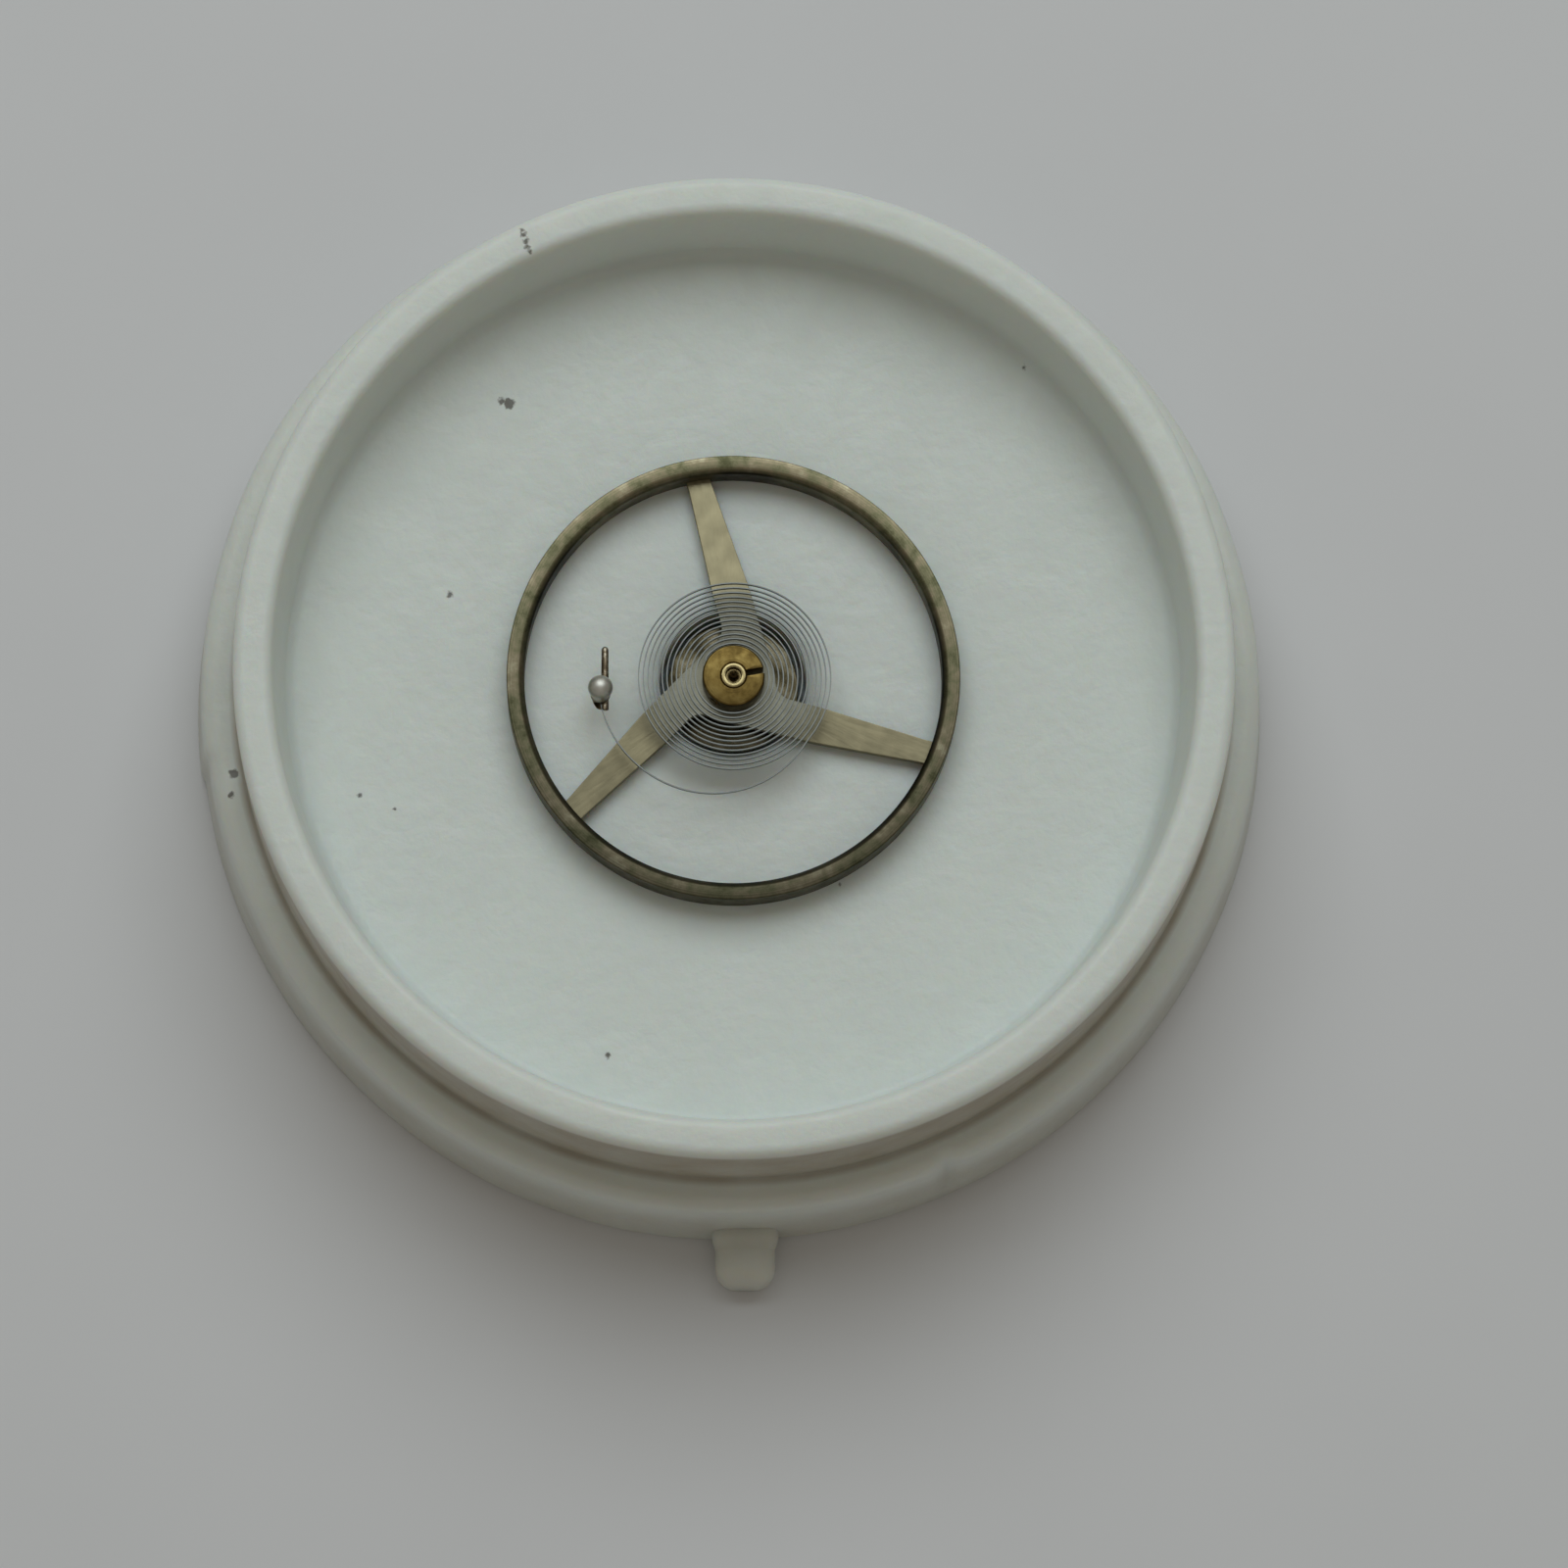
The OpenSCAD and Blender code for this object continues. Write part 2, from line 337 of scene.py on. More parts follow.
def about_axis(tree, coords):
    """A point's place in plan, and its distance from the axis."""
    flat = add(tree, "ShaderNodeVectorMath", (coords, (1.0, 1.0, 0.0)), operation="MULTIPLY")
    return flat, add(tree, "ShaderNodeVectorMath", [flat], operation="LENGTH").outputs["Value"]


def moulded_white_plastic(settings):
    """Injection-moulded polystyrene: satin and a little see-through, so its shaded walls glow warm.
    It is mottled by its flow in the mould, scuffed by handling, painted with shade round the rim's outer wall
    and a little dusty."""
    material, tree, shader, coords = blank("moulded_white_polystyrene")
    full = tuple(settings.plastic[:3]) + (1,)
    thin = tuple(c * 0.88 for c in full[:3]) + (1,)
    flow = add(tree, "ShaderNodeTexNoise", {
        "Vector": coords, "Scale": 1 / (3 * MM), "Detail": 8.0, "Roughness": 0.72})
    tint = add(tree, "ShaderNodeMix", {0: flow, 6: thin, 7: full}, data_type="RGBA")
    # Painted shade darkens the rim's outer wall, and thinly the ledge and skirt, in patches
    flat, radius = about_axis(tree, coords)
    split = add(tree, "ShaderNodeSeparateXYZ", {"Vector": coords})
    outside = add(tree, "ShaderNodeMapRange", (radius, RIM_R - 0.08 * MM, RIM_R - 0.03 * MM))
    on_wall = add(tree, "ShaderNodeMapRange", (radius, RIM_R + 0.05 * MM, RIM_R + 0.2 * MM, 1.0, 0.1))
    below = add(tree, "ShaderNodeMapRange", (
        split.outputs["Z"], RIM_Z - 0.5 * MM, RIM_Z - 0.1 * MM, 1.0, 0.0), interpolation_type="SMOOTHSTEP")
    cloud = add(tree, "ShaderNodeTexNoise", {"Vector": coords, "Scale": 1 / (1.6 * MM), "Detail": 6.0})
    patchy = add(tree, "ShaderNodeMapRange", (cloud, 0.35, 0.7, 0.7, 1.0))
    where = add(tree, "ShaderNodeMath", (outside, below), operation="MULTIPLY")
    thick = add(tree, "ShaderNodeMath", (where, on_wall), operation="MULTIPLY")
    lower = add(tree, "ShaderNodeMapRange", (
        split.outputs["Z"], LEDGE_Z - 1.8 * MM, LEDGE_Z - 0.15 * MM, 0.5, 0.0),
        interpolation_type="SMOOTHSTEP")
    skirt = add(tree, "ShaderNodeMath", (outside, lower), operation="MULTIPLY")
    most = add(tree, "ShaderNodeMath", (thick, skirt), operation="MAXIMUM")
    amount = add(tree, "ShaderNodeMath", (most, patchy), operation="MULTIPLY")
    # The painted shade is a warm brown-grey
    painted_outer_shade = add(tree, "ShaderNodeMix", {0: amount, 6: tint.outputs[2], 7: srgb("#aba28f")}, data_type="RGBA")
    # Dust and lint: each speck is a ragged spot, larger than the grain of the noise that frays its edge
    ragged = add(tree, "ShaderNodeTexNoise", {"Vector": coords, "Scale": 1 / (0.09 * MM), "Detail": 2.0})
    fray = add(tree, "ShaderNodeMath", (ragged, 0.16 * MM), operation="MULTIPLY")
    nearest = None
    for x, y, size in DUST:
        away = add(tree, "ShaderNodeVectorMath", (flat, (x * MM, y * MM, 0.0)), operation="DISTANCE")
        gap = add(tree, "ShaderNodeMath", (away.outputs["Value"], size * MM), operation="SUBTRACT")
        nearest = add(tree, "ShaderNodeMath", (nearest, gap), operation="MINIMUM") if nearest else gap
    edge = add(tree, "ShaderNodeMath", (nearest, fray), operation="ADD")
    speck = add(tree, "ShaderNodeMapRange", (edge, 0.04 * MM, 0.09 * MM, 0.85, 0.0))
    # It lies only where the surface looks up, so that no speck is drawn out down a wall
    facing = add(tree, "ShaderNodeSeparateXYZ", {"Vector": add(tree, "ShaderNodeTexCoord").outputs["Normal"]})
    upward = add(tree, "ShaderNodeMapRange", (facing.outputs["Z"], 0.35, 0.7))
    lying = add(tree, "ShaderNodeMath", (speck, upward), operation="MULTIPLY")
    dusty = add(tree, "ShaderNodeMix", {0: lying, 6: painted_outer_shade.outputs[2], 7: srgb("#4a4336")}, data_type="RGBA")
    # Fine orange peel from the mould, and scuffs
    peel = add(tree, "ShaderNodeTexNoise", {"Vector": coords, "Scale": 1 / (0.3 * MM), "Detail": 4.0})
    scuff = add(tree, "ShaderNodeTexNoise", {
        "Vector": coords, "Scale": 1 / (1.4 * MM), "Detail": 6.0, "Distortion": 1.5})
    shine = add(tree, "ShaderNodeMapRange", (scuff, 0.35, 0.7, 0.38, 0.56))
    height = add(tree, "ShaderNodeMath", (peel, scuff), operation="ADD")
    bump = add(tree, "ShaderNodeBump", {"Height": height, "Strength": 0.6, "Distance": 0.035 * MM})
    feed(tree, shader, {
        "Base Color": dusty.outputs[2], "Roughness": shine, "Normal": bump, "IOR": 1.53,
        "Subsurface Weight": 0.5, "Subsurface Radius": (1.0, 0.62, 0.34), "Subsurface Scale": 0.8 * MM})
    return material


def turned_metal(name, colours, roughness, ring_mm, ring_depth, patina_mm=0.5):
    """Turned metal: rings cut by the tool round the axis, with uneven tarnish over them.
    A real ring is a few thousandths of a millimetre wide: here they are drawn coarse enough to show."""
    material, tree, shader, coords = blank(name)
    radius = about_axis(tree, coords)[1]
    rings = add(tree, "ShaderNodeTexNoise", {
        "W": radius, "Scale": 1 / (ring_mm * MM), "Detail": 3.0}, noise_dimensions="1D")
    patina = add(tree, "ShaderNodeTexNoise", {
        "Vector": coords, "Scale": 1 / (patina_mm * MM), "Detail": 5.0, "Roughness": 0.6})
    ramp = add(tree, "ShaderNodeValToRGB", {"Fac": patina})
    stops = ramp.color_ramp.elements
    stops[0].position, stops[1].position = 0.38, 0.62
    stops[0].color, stops[1].color = srgb(colours[0]), srgb(colours[2])
    stops.new(0.5).color = srgb(colours[1])
    shade = add(tree, "ShaderNodeMapRange", (rings, 0.3, 0.7, 0.86, 1.05))
    streak = add(tree, "ShaderNodeMix", {
        0: 1.0, 6: ramp.outputs["Color"], 7: shade}, data_type="RGBA", blend_type="MULTIPLY")
    dull = add(tree, "ShaderNodeMapRange", (patina, 0.3, 0.7, roughness + 0.1, roughness - 0.06))
    bump = add(tree, "ShaderNodeBump", {"Height": rings, "Strength": ring_depth, "Distance": 0.01 * MM})
    feed(tree, shader, {"Base Color": streak.outputs[2], "Roughness": dull, "Normal": bump, "Metallic": 1.0})
    return material


def tarnished_rim_nickel():
    """Gilt nickel turned round the rim, long since tarnished: olive and brown blooms that run along the rim,
    darker towards the near side, with painted shade along the inner edge, and the turning rings still bright
    on the high spots.
    The rings are drawn 0.03 mm apart, several times as coarse as the real ones, so that they show."""
    material, tree, shader, coords = blank("tarnished_gilt_nickel")
    split = add(tree, "ShaderNodeSeparateXYZ", {"Vector": coords})
    flat, radius = about_axis(tree, coords)
    rings = add(tree, "ShaderNodeTexNoise", {
        "W": radius, "Scale": 1 / (0.03 * MM), "Detail": 3.0}, noise_dimensions="1D")
    bloom = add(tree, "ShaderNodeTexNoise", {
        "Vector": coords, "Scale": 1 / (0.7 * MM), "Detail": 8.0, "Roughness": 0.72})
    ramp = add(tree, "ShaderNodeValToRGB", {"Fac": bloom})
    stops = ramp.color_ramp.elements
    stops[0].position, stops[1].position = 0.36, 0.72
    stops[0].color, stops[1].color = srgb("#54543d"), srgb("#949179")
    stops.new(0.46).color = srgb("#6c6a52")
    stops.new(0.56).color = srgb("#7b725d")
    # Darker towards the near side, lighter towards the far side
    near_far_tone = add(tree, "ShaderNodeMapRange", (
        split.outputs["Y"], -WHEEL_R, WHEEL_R * 0.9, 0.5, 1.5), interpolation_type="SMOOTHSTEP")
    # Painted shade stands black along the rim's inner edge, in long stretches
    inside = add(tree, "ShaderNodeMapRange", (radius, WHEEL_R - 0.37 * MM, WHEEL_R - 0.29 * MM, 1.0, 0.0))
    stretch = add(tree, "ShaderNodeTexNoise", {"Vector": flat, "Scale": 1 / (3 * MM), "Detail": 2.0})
    shade_depth = add(tree, "ShaderNodeMapRange", (stretch, 0.4, 0.55, 0.35, 0.88))
    shade_patch = add(tree, "ShaderNodeMath", (inside, shade_depth), operation="MULTIPLY")
    unshaded = add(tree, "ShaderNodeMath", (1.0, shade_patch), operation="SUBTRACT")
    worn = add(tree, "ShaderNodeMapRange", (rings, 0.3, 0.7, 0.88, 1.1))
    shade = add(tree, "ShaderNodeMath", (unshaded, worn), operation="MULTIPLY")
    both = add(tree, "ShaderNodeMath", (near_far_tone, shade), operation="MULTIPLY")
    dark = add(tree, "ShaderNodeMix", {
        0: 1.0, 6: ramp.outputs["Color"], 7: both}, data_type="RGBA", blend_type="MULTIPLY")
    dull = add(tree, "ShaderNodeMapRange", (bloom, 0.3, 0.7, 0.58, 0.4))
    height = add(tree, "ShaderNodeMath", (rings, bloom), operation="ADD")
    bump = add(tree, "ShaderNodeBump", {"Height": height, "Strength": 0.3, "Distance": 0.006 * MM})
    feed(tree, shader, {"Base Color": dark.outputs[2], "Roughness": dull, "Normal": bump, "Metallic": 1.0})
    return material


def brushed_gilt_nickel(settings):
    """Stamped nickel alloy, gilt and brushed along the arms: pale, with a grey bloom near the hub."""
    material, tree, shader, coords = blank("brushed_gilt_nickel")
    split = add(tree, "ShaderNodeSeparateXYZ", {"Vector": coords})
    angle = add(tree, "ShaderNodeMath", (split.outputs["Y"], split.outputs["X"]), operation="ARCTAN2")
    radius = about_axis(tree, coords)[1]
    # The grain runs outward: fine round the axis, and many times longer along the arm.
    # It is drawn about ten times as coarse as real brush lines, so that it shows
    across = add(tree, "ShaderNodeMath", (angle, 34.0), operation="MULTIPLY")
    along = add(tree, "ShaderNodeMath", (radius, 1 / (0.8 * MM)), operation="MULTIPLY")
    lay = add(tree, "ShaderNodeCombineXYZ", {"X": across, "Y": along})
    grain = add(tree, "ShaderNodeTexNoise", {"Vector": lay, "Scale": 1.0, "Detail": 4.0})
    patina = add(tree, "ShaderNodeTexNoise", {"Vector": coords, "Scale": 1 / (0.45 * MM), "Detail": 7.0})
    reach = add(tree, "ShaderNodeMapRange", (radius, 1.3 * MM, 2.4 * MM), interpolation_type="SMOOTHSTEP")
    gilt = tuple(settings.arm_colour[:3]) + (1,)
    tone = add(tree, "ShaderNodeMix", {0: reach, 6: srgb("#b0ae9c"), 7: gilt}, data_type="RGBA")
    fade = add(tree, "ShaderNodeMapRange", (patina, 0.35, 0.65, 0.82, 1.06))
    streak = add(tree, "ShaderNodeMapRange", (grain, 0.35, 0.65, 0.86, 1.06))
    # The arms are darker towards the near side
    near_far_tone = add(tree, "ShaderNodeMapRange", (split.outputs["Y"], -WHEEL_R / 2, WHEEL_R / 2, 0.72, 1.1))
    side_faded = add(tree, "ShaderNodeMath", (fade, near_far_tone), operation="MULTIPLY")
    wear = add(tree, "ShaderNodeMath", (side_faded, streak), operation="MULTIPLY")
    worn = add(tree, "ShaderNodeMix", {
        0: 1.0, 6: tone.outputs[2], 7: wear}, data_type="RGBA", blend_type="MULTIPLY")
    shine = add(tree, "ShaderNodeMapRange", (grain, 0.3, 0.7, 0.34, 0.5))
    bump = add(tree, "ShaderNodeBump", {"Height": grain, "Strength": 0.4, "Distance": 0.01 * MM})
    feed(tree, shader, {"Base Color": worn.outputs[2], "Roughness": shine, "Normal": bump, "Metallic": 1.0})
    return material


def polished_staff_steel():
    """Hardened steel, turned and burnished: bright on its shoulder, and painted dark with shade round the
    pivot's cone.
    """
    material, tree, shader, coords = blank("burnished_staff_steel")
    radius = about_axis(tree, coords)[1]
    # Painted shade darkens the middle round the pivot's cone; this noise frays its edge and varies the shine
    shade_patch = add(tree, "ShaderNodeTexNoise", {"Vector": coords, "Scale": 1 / (0.12 * MM), "Detail": 4.0})
    ragged = add(tree, "ShaderNodeMath", (shade_patch, 0.05 * MM, radius), operation="MULTIPLY_ADD")
    past_shade = add(tree, "ShaderNodeMapRange", (ragged, 0.15 * MM, 0.2 * MM))
    tone = add(tree, "ShaderNodeMix", {0: past_shade, 6: srgb("#4a3d26"), 7: srgb("#a8996f")}, data_type="RGBA")
    shine = add(tree, "ShaderNodeMapRange", (shade_patch, 0.3, 0.7, 0.18, 0.32))
    feed(tree, shader, {"Base Color": tone.outputs[2], "Roughness": shine, "Metallic": 1.0})
    return material


def synthetic_ruby():
    """Flame-grown ruby, ground and polished: deep red, clear, with faint growth lines."""
    material, tree, shader, coords = blank("polished_synthetic_ruby")
    lines = add(tree, "ShaderNodeTexWave", {"Vector": coords, "Scale": 1 / (0.3 * MM), "Distortion": 2.0})
    tint = add(tree, "ShaderNodeMix", {
        0: lines.outputs["Fac"], 6: srgb("#b0122f"), 7: srgb("#8e0d2a")}, data_type="RGBA")
    feed(tree, shader, {
        "Base Color": tint.outputs[2], "Roughness": 0.06, "IOR": 1.77, "Transmission Weight": 0.6})
    return material


def rolled_spring_alloy():
    """Drawn and rolled spring alloy: cool grey, polished by the rolls, with a faint straw tint in places."""
    material, tree, shader, coords = blank("rolled_spring_alloy")
    patina = add(tree, "ShaderNodeTexNoise", {"Vector": coords, "Scale": 1 / (0.6 * MM), "Detail": 3.0})
    tint = add(tree, "ShaderNodeMix", {0: patina, 6: srgb("#74787a"), 7: srgb("#8f928c")}, data_type="RGBA")
    shine = add(tree, "ShaderNodeMapRange", (patina, 0.3, 0.7, 0.4, 0.5))
    feed(tree, shader, {"Base Color": tint.outputs[2], "Roughness": shine, "Metallic": 1.0})
    return material


def burnished_stud_steel():
    """Stud steel: the head is bright and satin, and the foot is painted brown as shade."""
    material, tree, shader, coords = blank("burnished_stud_steel")
    split = add(tree, "ShaderNodeSeparateXYZ", {"Vector": coords})
    head = add(tree, "ShaderNodeMapRange", (
        split.outputs["Z"], STUD_TINT_Z - 0.06 * MM, STUD_TINT_Z + 0.06 * MM),
        interpolation_type="SMOOTHSTEP")
    foot_mottle = add(tree, "ShaderNodeTexNoise", {"Vector": coords, "Scale": 1 / (0.15 * MM), "Detail": 3.0})
    # The foot's brown is painted shade, mottled by noise
    brown = add(tree, "ShaderNodeMix", {0: foot_mottle, 6: srgb("#4f4330"), 7: srgb("#93856a")}, data_type="RGBA")
    tone = add(tree, "ShaderNodeMix", {0: head, 6: brown.outputs[2], 7: srgb("#cfcec6")}, data_type="RGBA")
    shine = add(tree, "ShaderNodeMapRange", (foot_mottle, 0.3, 0.7, 0.42, 0.56))
    bump = add(tree, "ShaderNodeBump", {"Height": foot_mottle, "Strength": 0.35, "Distance": 0.02 * MM})
    feed(tree, shader, {"Base Color": tone.outputs[2], "Roughness": shine, "Normal": bump, "Metallic": 1.0})
    return material


def pale_card(settings):
    """The surface that the dish stands on: smooth pale card with a faint cloudiness."""
    material, tree, shader, coords = blank("pale_card")
    full = tuple(settings.floor_colour[:3]) + (1,)
    dim = tuple(c * 0.94 for c in full[:3]) + (1,)
    cloud = add(tree, "ShaderNodeTexNoise", {"Vector": coords, "Scale": 1 / (9 * MM), "Detail": 4.0})
    tint = add(tree, "ShaderNodeMix", {0: cloud, 6: dim, 7: full}, data_type="RGBA")
    feed(tree, shader, {"Base Color": tint.outputs[2], "Roughness": 0.6})
    return material


# ---------------------------------------------------------------- shapes

def dish_section(settings):
    """The dish's section, from the boss under its foot round to the bottom of the pivot hole."""
    shell, wall, draft = 1.0 * MM, settings.rim_wall, 0.2 * MM
    foot, edge, top, corner, mouth = 0.2 * MM, 0.35 * MM, 0.25 * MM, 0.3 * MM, 0.1 * MM
    rim_in = RIM_R - wall
    floor_r = rim_in - draft
    well_z = FLOOR_Z - 1.2 * MM
    hole_z = STAFF_Z[0] - 0.02 * MM
    boss_r, well_r, hole_r = 2.6 * MM, settings.well_radius, 0.3 * MM
    under = FLOOR_Z - shell
    relief = 0.12 * MM
    return (
        [(0, 0)] + arc((boss_r - relief, relief), relief, -90, 0, 4)
        + arc((boss_r + relief, under - relief), relief, 180, 90, 4)
        + arc((RIM_R - shell - relief, under - relief), relief, 90, 0, 4)
        + arc((FLANGE_R - shell - relief, LEDGE_Z - shell - relief), relief, 90, 0, 4)
        + [(FOOT_R - shell, relief)]
        + arc((FOOT_R - foot, foot), foot, -90, 0, 6)
        + arc((FLANGE_R - edge, LEDGE_Z - edge), edge, 3, 90, 10)
        + [(FLANGE_R - 0.6 * MM, LEDGE_Z)]
        + arc((RIM_R + LEDGE_FILLET, LEDGE_Z + LEDGE_FILLET), LEDGE_FILLET, 270, 180, 6)
        + [(RIM_R, (LEDGE_Z + RIM_Z) / 2)]
        + arc((RIM_R - top, RIM_Z - top), top, 0, 90, 10)
        + arc((rim_in + top, RIM_Z - top), top, 90, 180, 10)
        + arc((floor_r - corner, FLOOR_Z + corner), corner, 0, -90, 8)
        + [(r * MM, FLOOR_Z) for r in (8, 6, 4, 2.6)]
        + arc((well_r + mouth, FLOOR_Z - mouth), mouth, 90, 180, 5)
        + [(well_r, well_z), (hole_r, well_z), (hole_r, hole_z), (0, hole_z)])


def dish_stray(r, z, a):
    """How far the moulding strays from round and flat: outward and upward.
    It waves slowly, keeps a step of flash on one side of the flange, and has a nick in its edge.
    The amounts are in millimetres until they are given back."""
    degrees = math.degrees(a)
    wave = 0.012 * math.sin(3 * a + 0.6) + 0.007 * math.sin(7 * a + 2.1) + 0.005 * math.sin(17 * a) - 0.026
    outer = smooth((r - RIM_R) / (0.4 * MM))
    before = FLASH_ANGLE - degrees
    flash = 0.09 * (1 - smooth(before / 1.5)) + 0.09 * smooth((before - 30) / 60)
    nick = 0.16 * math.exp(-((degrees - NICK_ANGLE) / 1.1) ** 2) * smooth((z - 1.6 * MM) / (0.8 * MM))
    out = (wave * (0.3 + 0.7 * outer) - (flash + nick) * outer) * smooth(r / (9 * MM))
    lump = 0.07 * math.exp(-((degrees - FLASH_ANGLE - 5) / 3.5) ** 2)
    sink = 0.015 * math.sin(5 * a + 1) + 0.01 * math.sin(13 * a)
    ledge = outer * smooth((z - 2.4 * MM) / (0.5 * MM))
    return out * MM, (lump + sink - 0.02) * ledge * MM


def nub_shape(settings):
    """The gate nub: a rounded stub with straight sides, whose root flares a little into the skirt."""
    bm = bmesh.new()
    sections, around = 34, 32
    root = FLANGE_R - 0.4 * MM
    reach = -low("dish").y - root
    nose = 0.42 * MM
    rings = []
    for i in range(sections):
        out = reach * (1 - (1 - i / (sections - 1)) ** 1.6)
        flare = 0.08 * MM * (1 - smooth((out - 0.5 * MM) / (0.35 * MM)))
        past = min(max(0.0, (out - (reach - nose)) / nose), 0.997)
        drop = nose * (1 - math.sqrt(1 - past ** 2))
        half = settings.nub_width / 2 - drop + flare
        tall = settings.nub_height - drop * 0.9 + flare
        ring = []
        for k in range(around):
            a = TAU * k / around
            # A squared oval, flat where it lies on the table
            x = half * math.copysign(abs(math.cos(a)) ** 0.62, math.cos(a))
            z = tall / 2 + (tall / 2) * math.copysign(abs(math.sin(a)) ** 0.62, math.sin(a))
            ring.append(bm.verts.new((settings.nub_side + x, -(root + out), max(z, 0.01 * MM))))
        rings.append(ring)
    for one, two in zip(rings, rings[1:]):
        for k in range(around):
            j = (k + 1) % around
            bm.faces.new((one[k], one[j], two[j], two[k]))
    bm.faces.new(rings[0])
    bm.faces.new(rings[-1])
    return as_object("nub", closed_mesh("nub", bm))


def arm_half(x, settings):
    """Half the width of an arm at a distance along it: it tapers evenly out to the rim."""
    inward = min(max((WHEEL_R - 0.6 * MM - x) / (2.5 * MM), 0.0), 1.0)
    return (settings.arm_tip + (settings.arm_root - settings.arm_tip) * inward) / 2


def arm_sector(settings):
    """A third of the arms and hub in plan, from one radial line to the next, as one face."""
    hub, fillet, count = settings.hub_radius, 0.45 * MM, settings.arm_count
    inner_edge = arm_half(0, settings) - settings.arm_offset
    outer_edge = -arm_half(0, settings) - settings.arm_offset
    fy = inner_edge + fillet
    fx = math.sqrt((hub + fillet) ** 2 - fy ** 2)
    leave = math.degrees(math.atan2(fy, fx))
    meet = math.degrees(math.atan2(outer_edge, math.sqrt(hub ** 2 - outer_edge ** 2)))
    share = 360 / count
    first = (leave + meet) / 2 - share / 2
    x_far = [fx + (ARM_REACH - fx) * i / ARM_STEPS for i in range(ARM_STEPS + 1)]
    start = math.sqrt(hub ** 2 - outer_edge ** 2)
    x_near = [ARM_REACH + (start - ARM_REACH) * i / ARM_STEPS for i in range(ARM_STEPS + 1)]
    far = [(x, arm_half(x, settings) - settings.arm_offset) for x in x_far]
    near = [(x, -arm_half(x, settings) - settings.arm_offset) for x in x_near]
    to_hub = math.degrees(math.atan2(-fy, -fx)) + 360
    return (arc((0, 0), HUB_BORE, first + share, first, 24)
            + arc((0, 0), hub, first, meet, 6)[:-1]
            + near[::-1] + far[::-1]
            + arc((fx, fy), fillet, 270, to_hub, 10)[1:]
            + arc((0, 0), hub, leave, first + share, 6)[1:])


def arms_tree(material):
    """Geometry Nodes: repeats one sector round the axis, welds the sectors and gives them thickness."""
    tree = bpy.data.node_groups.new("wheel_arms", "GeometryNodeTree")
    face = tree.interface
    face.new_socket("Geometry", in_out="INPUT", socket_type="NodeSocketGeometry")
    face.new_socket("Arms", in_out="INPUT", socket_type="NodeSocketInt").default_value = 3
    face.new_socket("Thickness", in_out="INPUT", socket_type="NodeSocketFloat").default_value = ARM_T
    face.new_socket("First Angle", in_out="INPUT", socket_type="NodeSocketFloat")
    face.new_socket("Geometry", in_out="OUTPUT", socket_type="NodeSocketGeometry")
    given = add(tree, "NodeGroupInput")
    stations = add(tree, "GeometryNodePoints", {"Count": given.outputs["Arms"]})
    index = add(tree, "GeometryNodeInputIndex")
    share = add(tree, "ShaderNodeMath", (TAU, given.outputs["Arms"]), operation="DIVIDE")
    angle = add(
        tree, "ShaderNodeMath", (index, share, given.outputs["First Angle"]), operation="MULTIPLY_ADD")
    spin = add(tree, "ShaderNodeCombineXYZ", {"Z": angle})
    copies = add(tree, "GeometryNodeInstanceOnPoints", {
        "Points": stations, "Instance": given.outputs["Geometry"], "Rotation": spin})
    real = add(tree, "GeometryNodeRealizeInstances", {"Geometry": copies})
    weld = add(tree, "GeometryNodeMergeByDistance", {"Geometry": real, "Distance": WELD})
    lift = add(tree, "ShaderNodeCombineXYZ", {"Z": 1.0})
    upper = add(tree, "GeometryNodeExtrudeMesh", {
        "Mesh": weld, "Offset": lift,
        "Offset Scale": given.outputs["Thickness"], "Individual": False})
    lower = add(tree, "GeometryNodeFlipFaces", {"Mesh": weld})
    both = add(tree, "GeometryNodeJoinGeometry")
    tree.links.new(upper.outputs["Mesh"], both.inputs[0])
    tree.links.new(lower.outputs["Mesh"], both.inputs[0])
    shut = add(tree, "GeometryNodeMergeByDistance", {"Geometry": both, "Distance": WELD})
    done = add(tree, "GeometryNodeSetMaterial", {"Geometry": shut, "Material": material})
    add(tree, "NodeGroupOutput", {"Geometry": done})
    return tree


def set_inputs(modifier, **values):
    """Sets a Geometry Nodes modifier's inputs by the identifiers of their sockets."""
    sockets = {s.name: s.identifier for s in modifier.node_group.interface.items_tree
               if s.item_type == "SOCKET" and s.in_out == "INPUT"}
    for name, value in values.items():
        modifier[sockets[name.replace("_", " ")]] = value


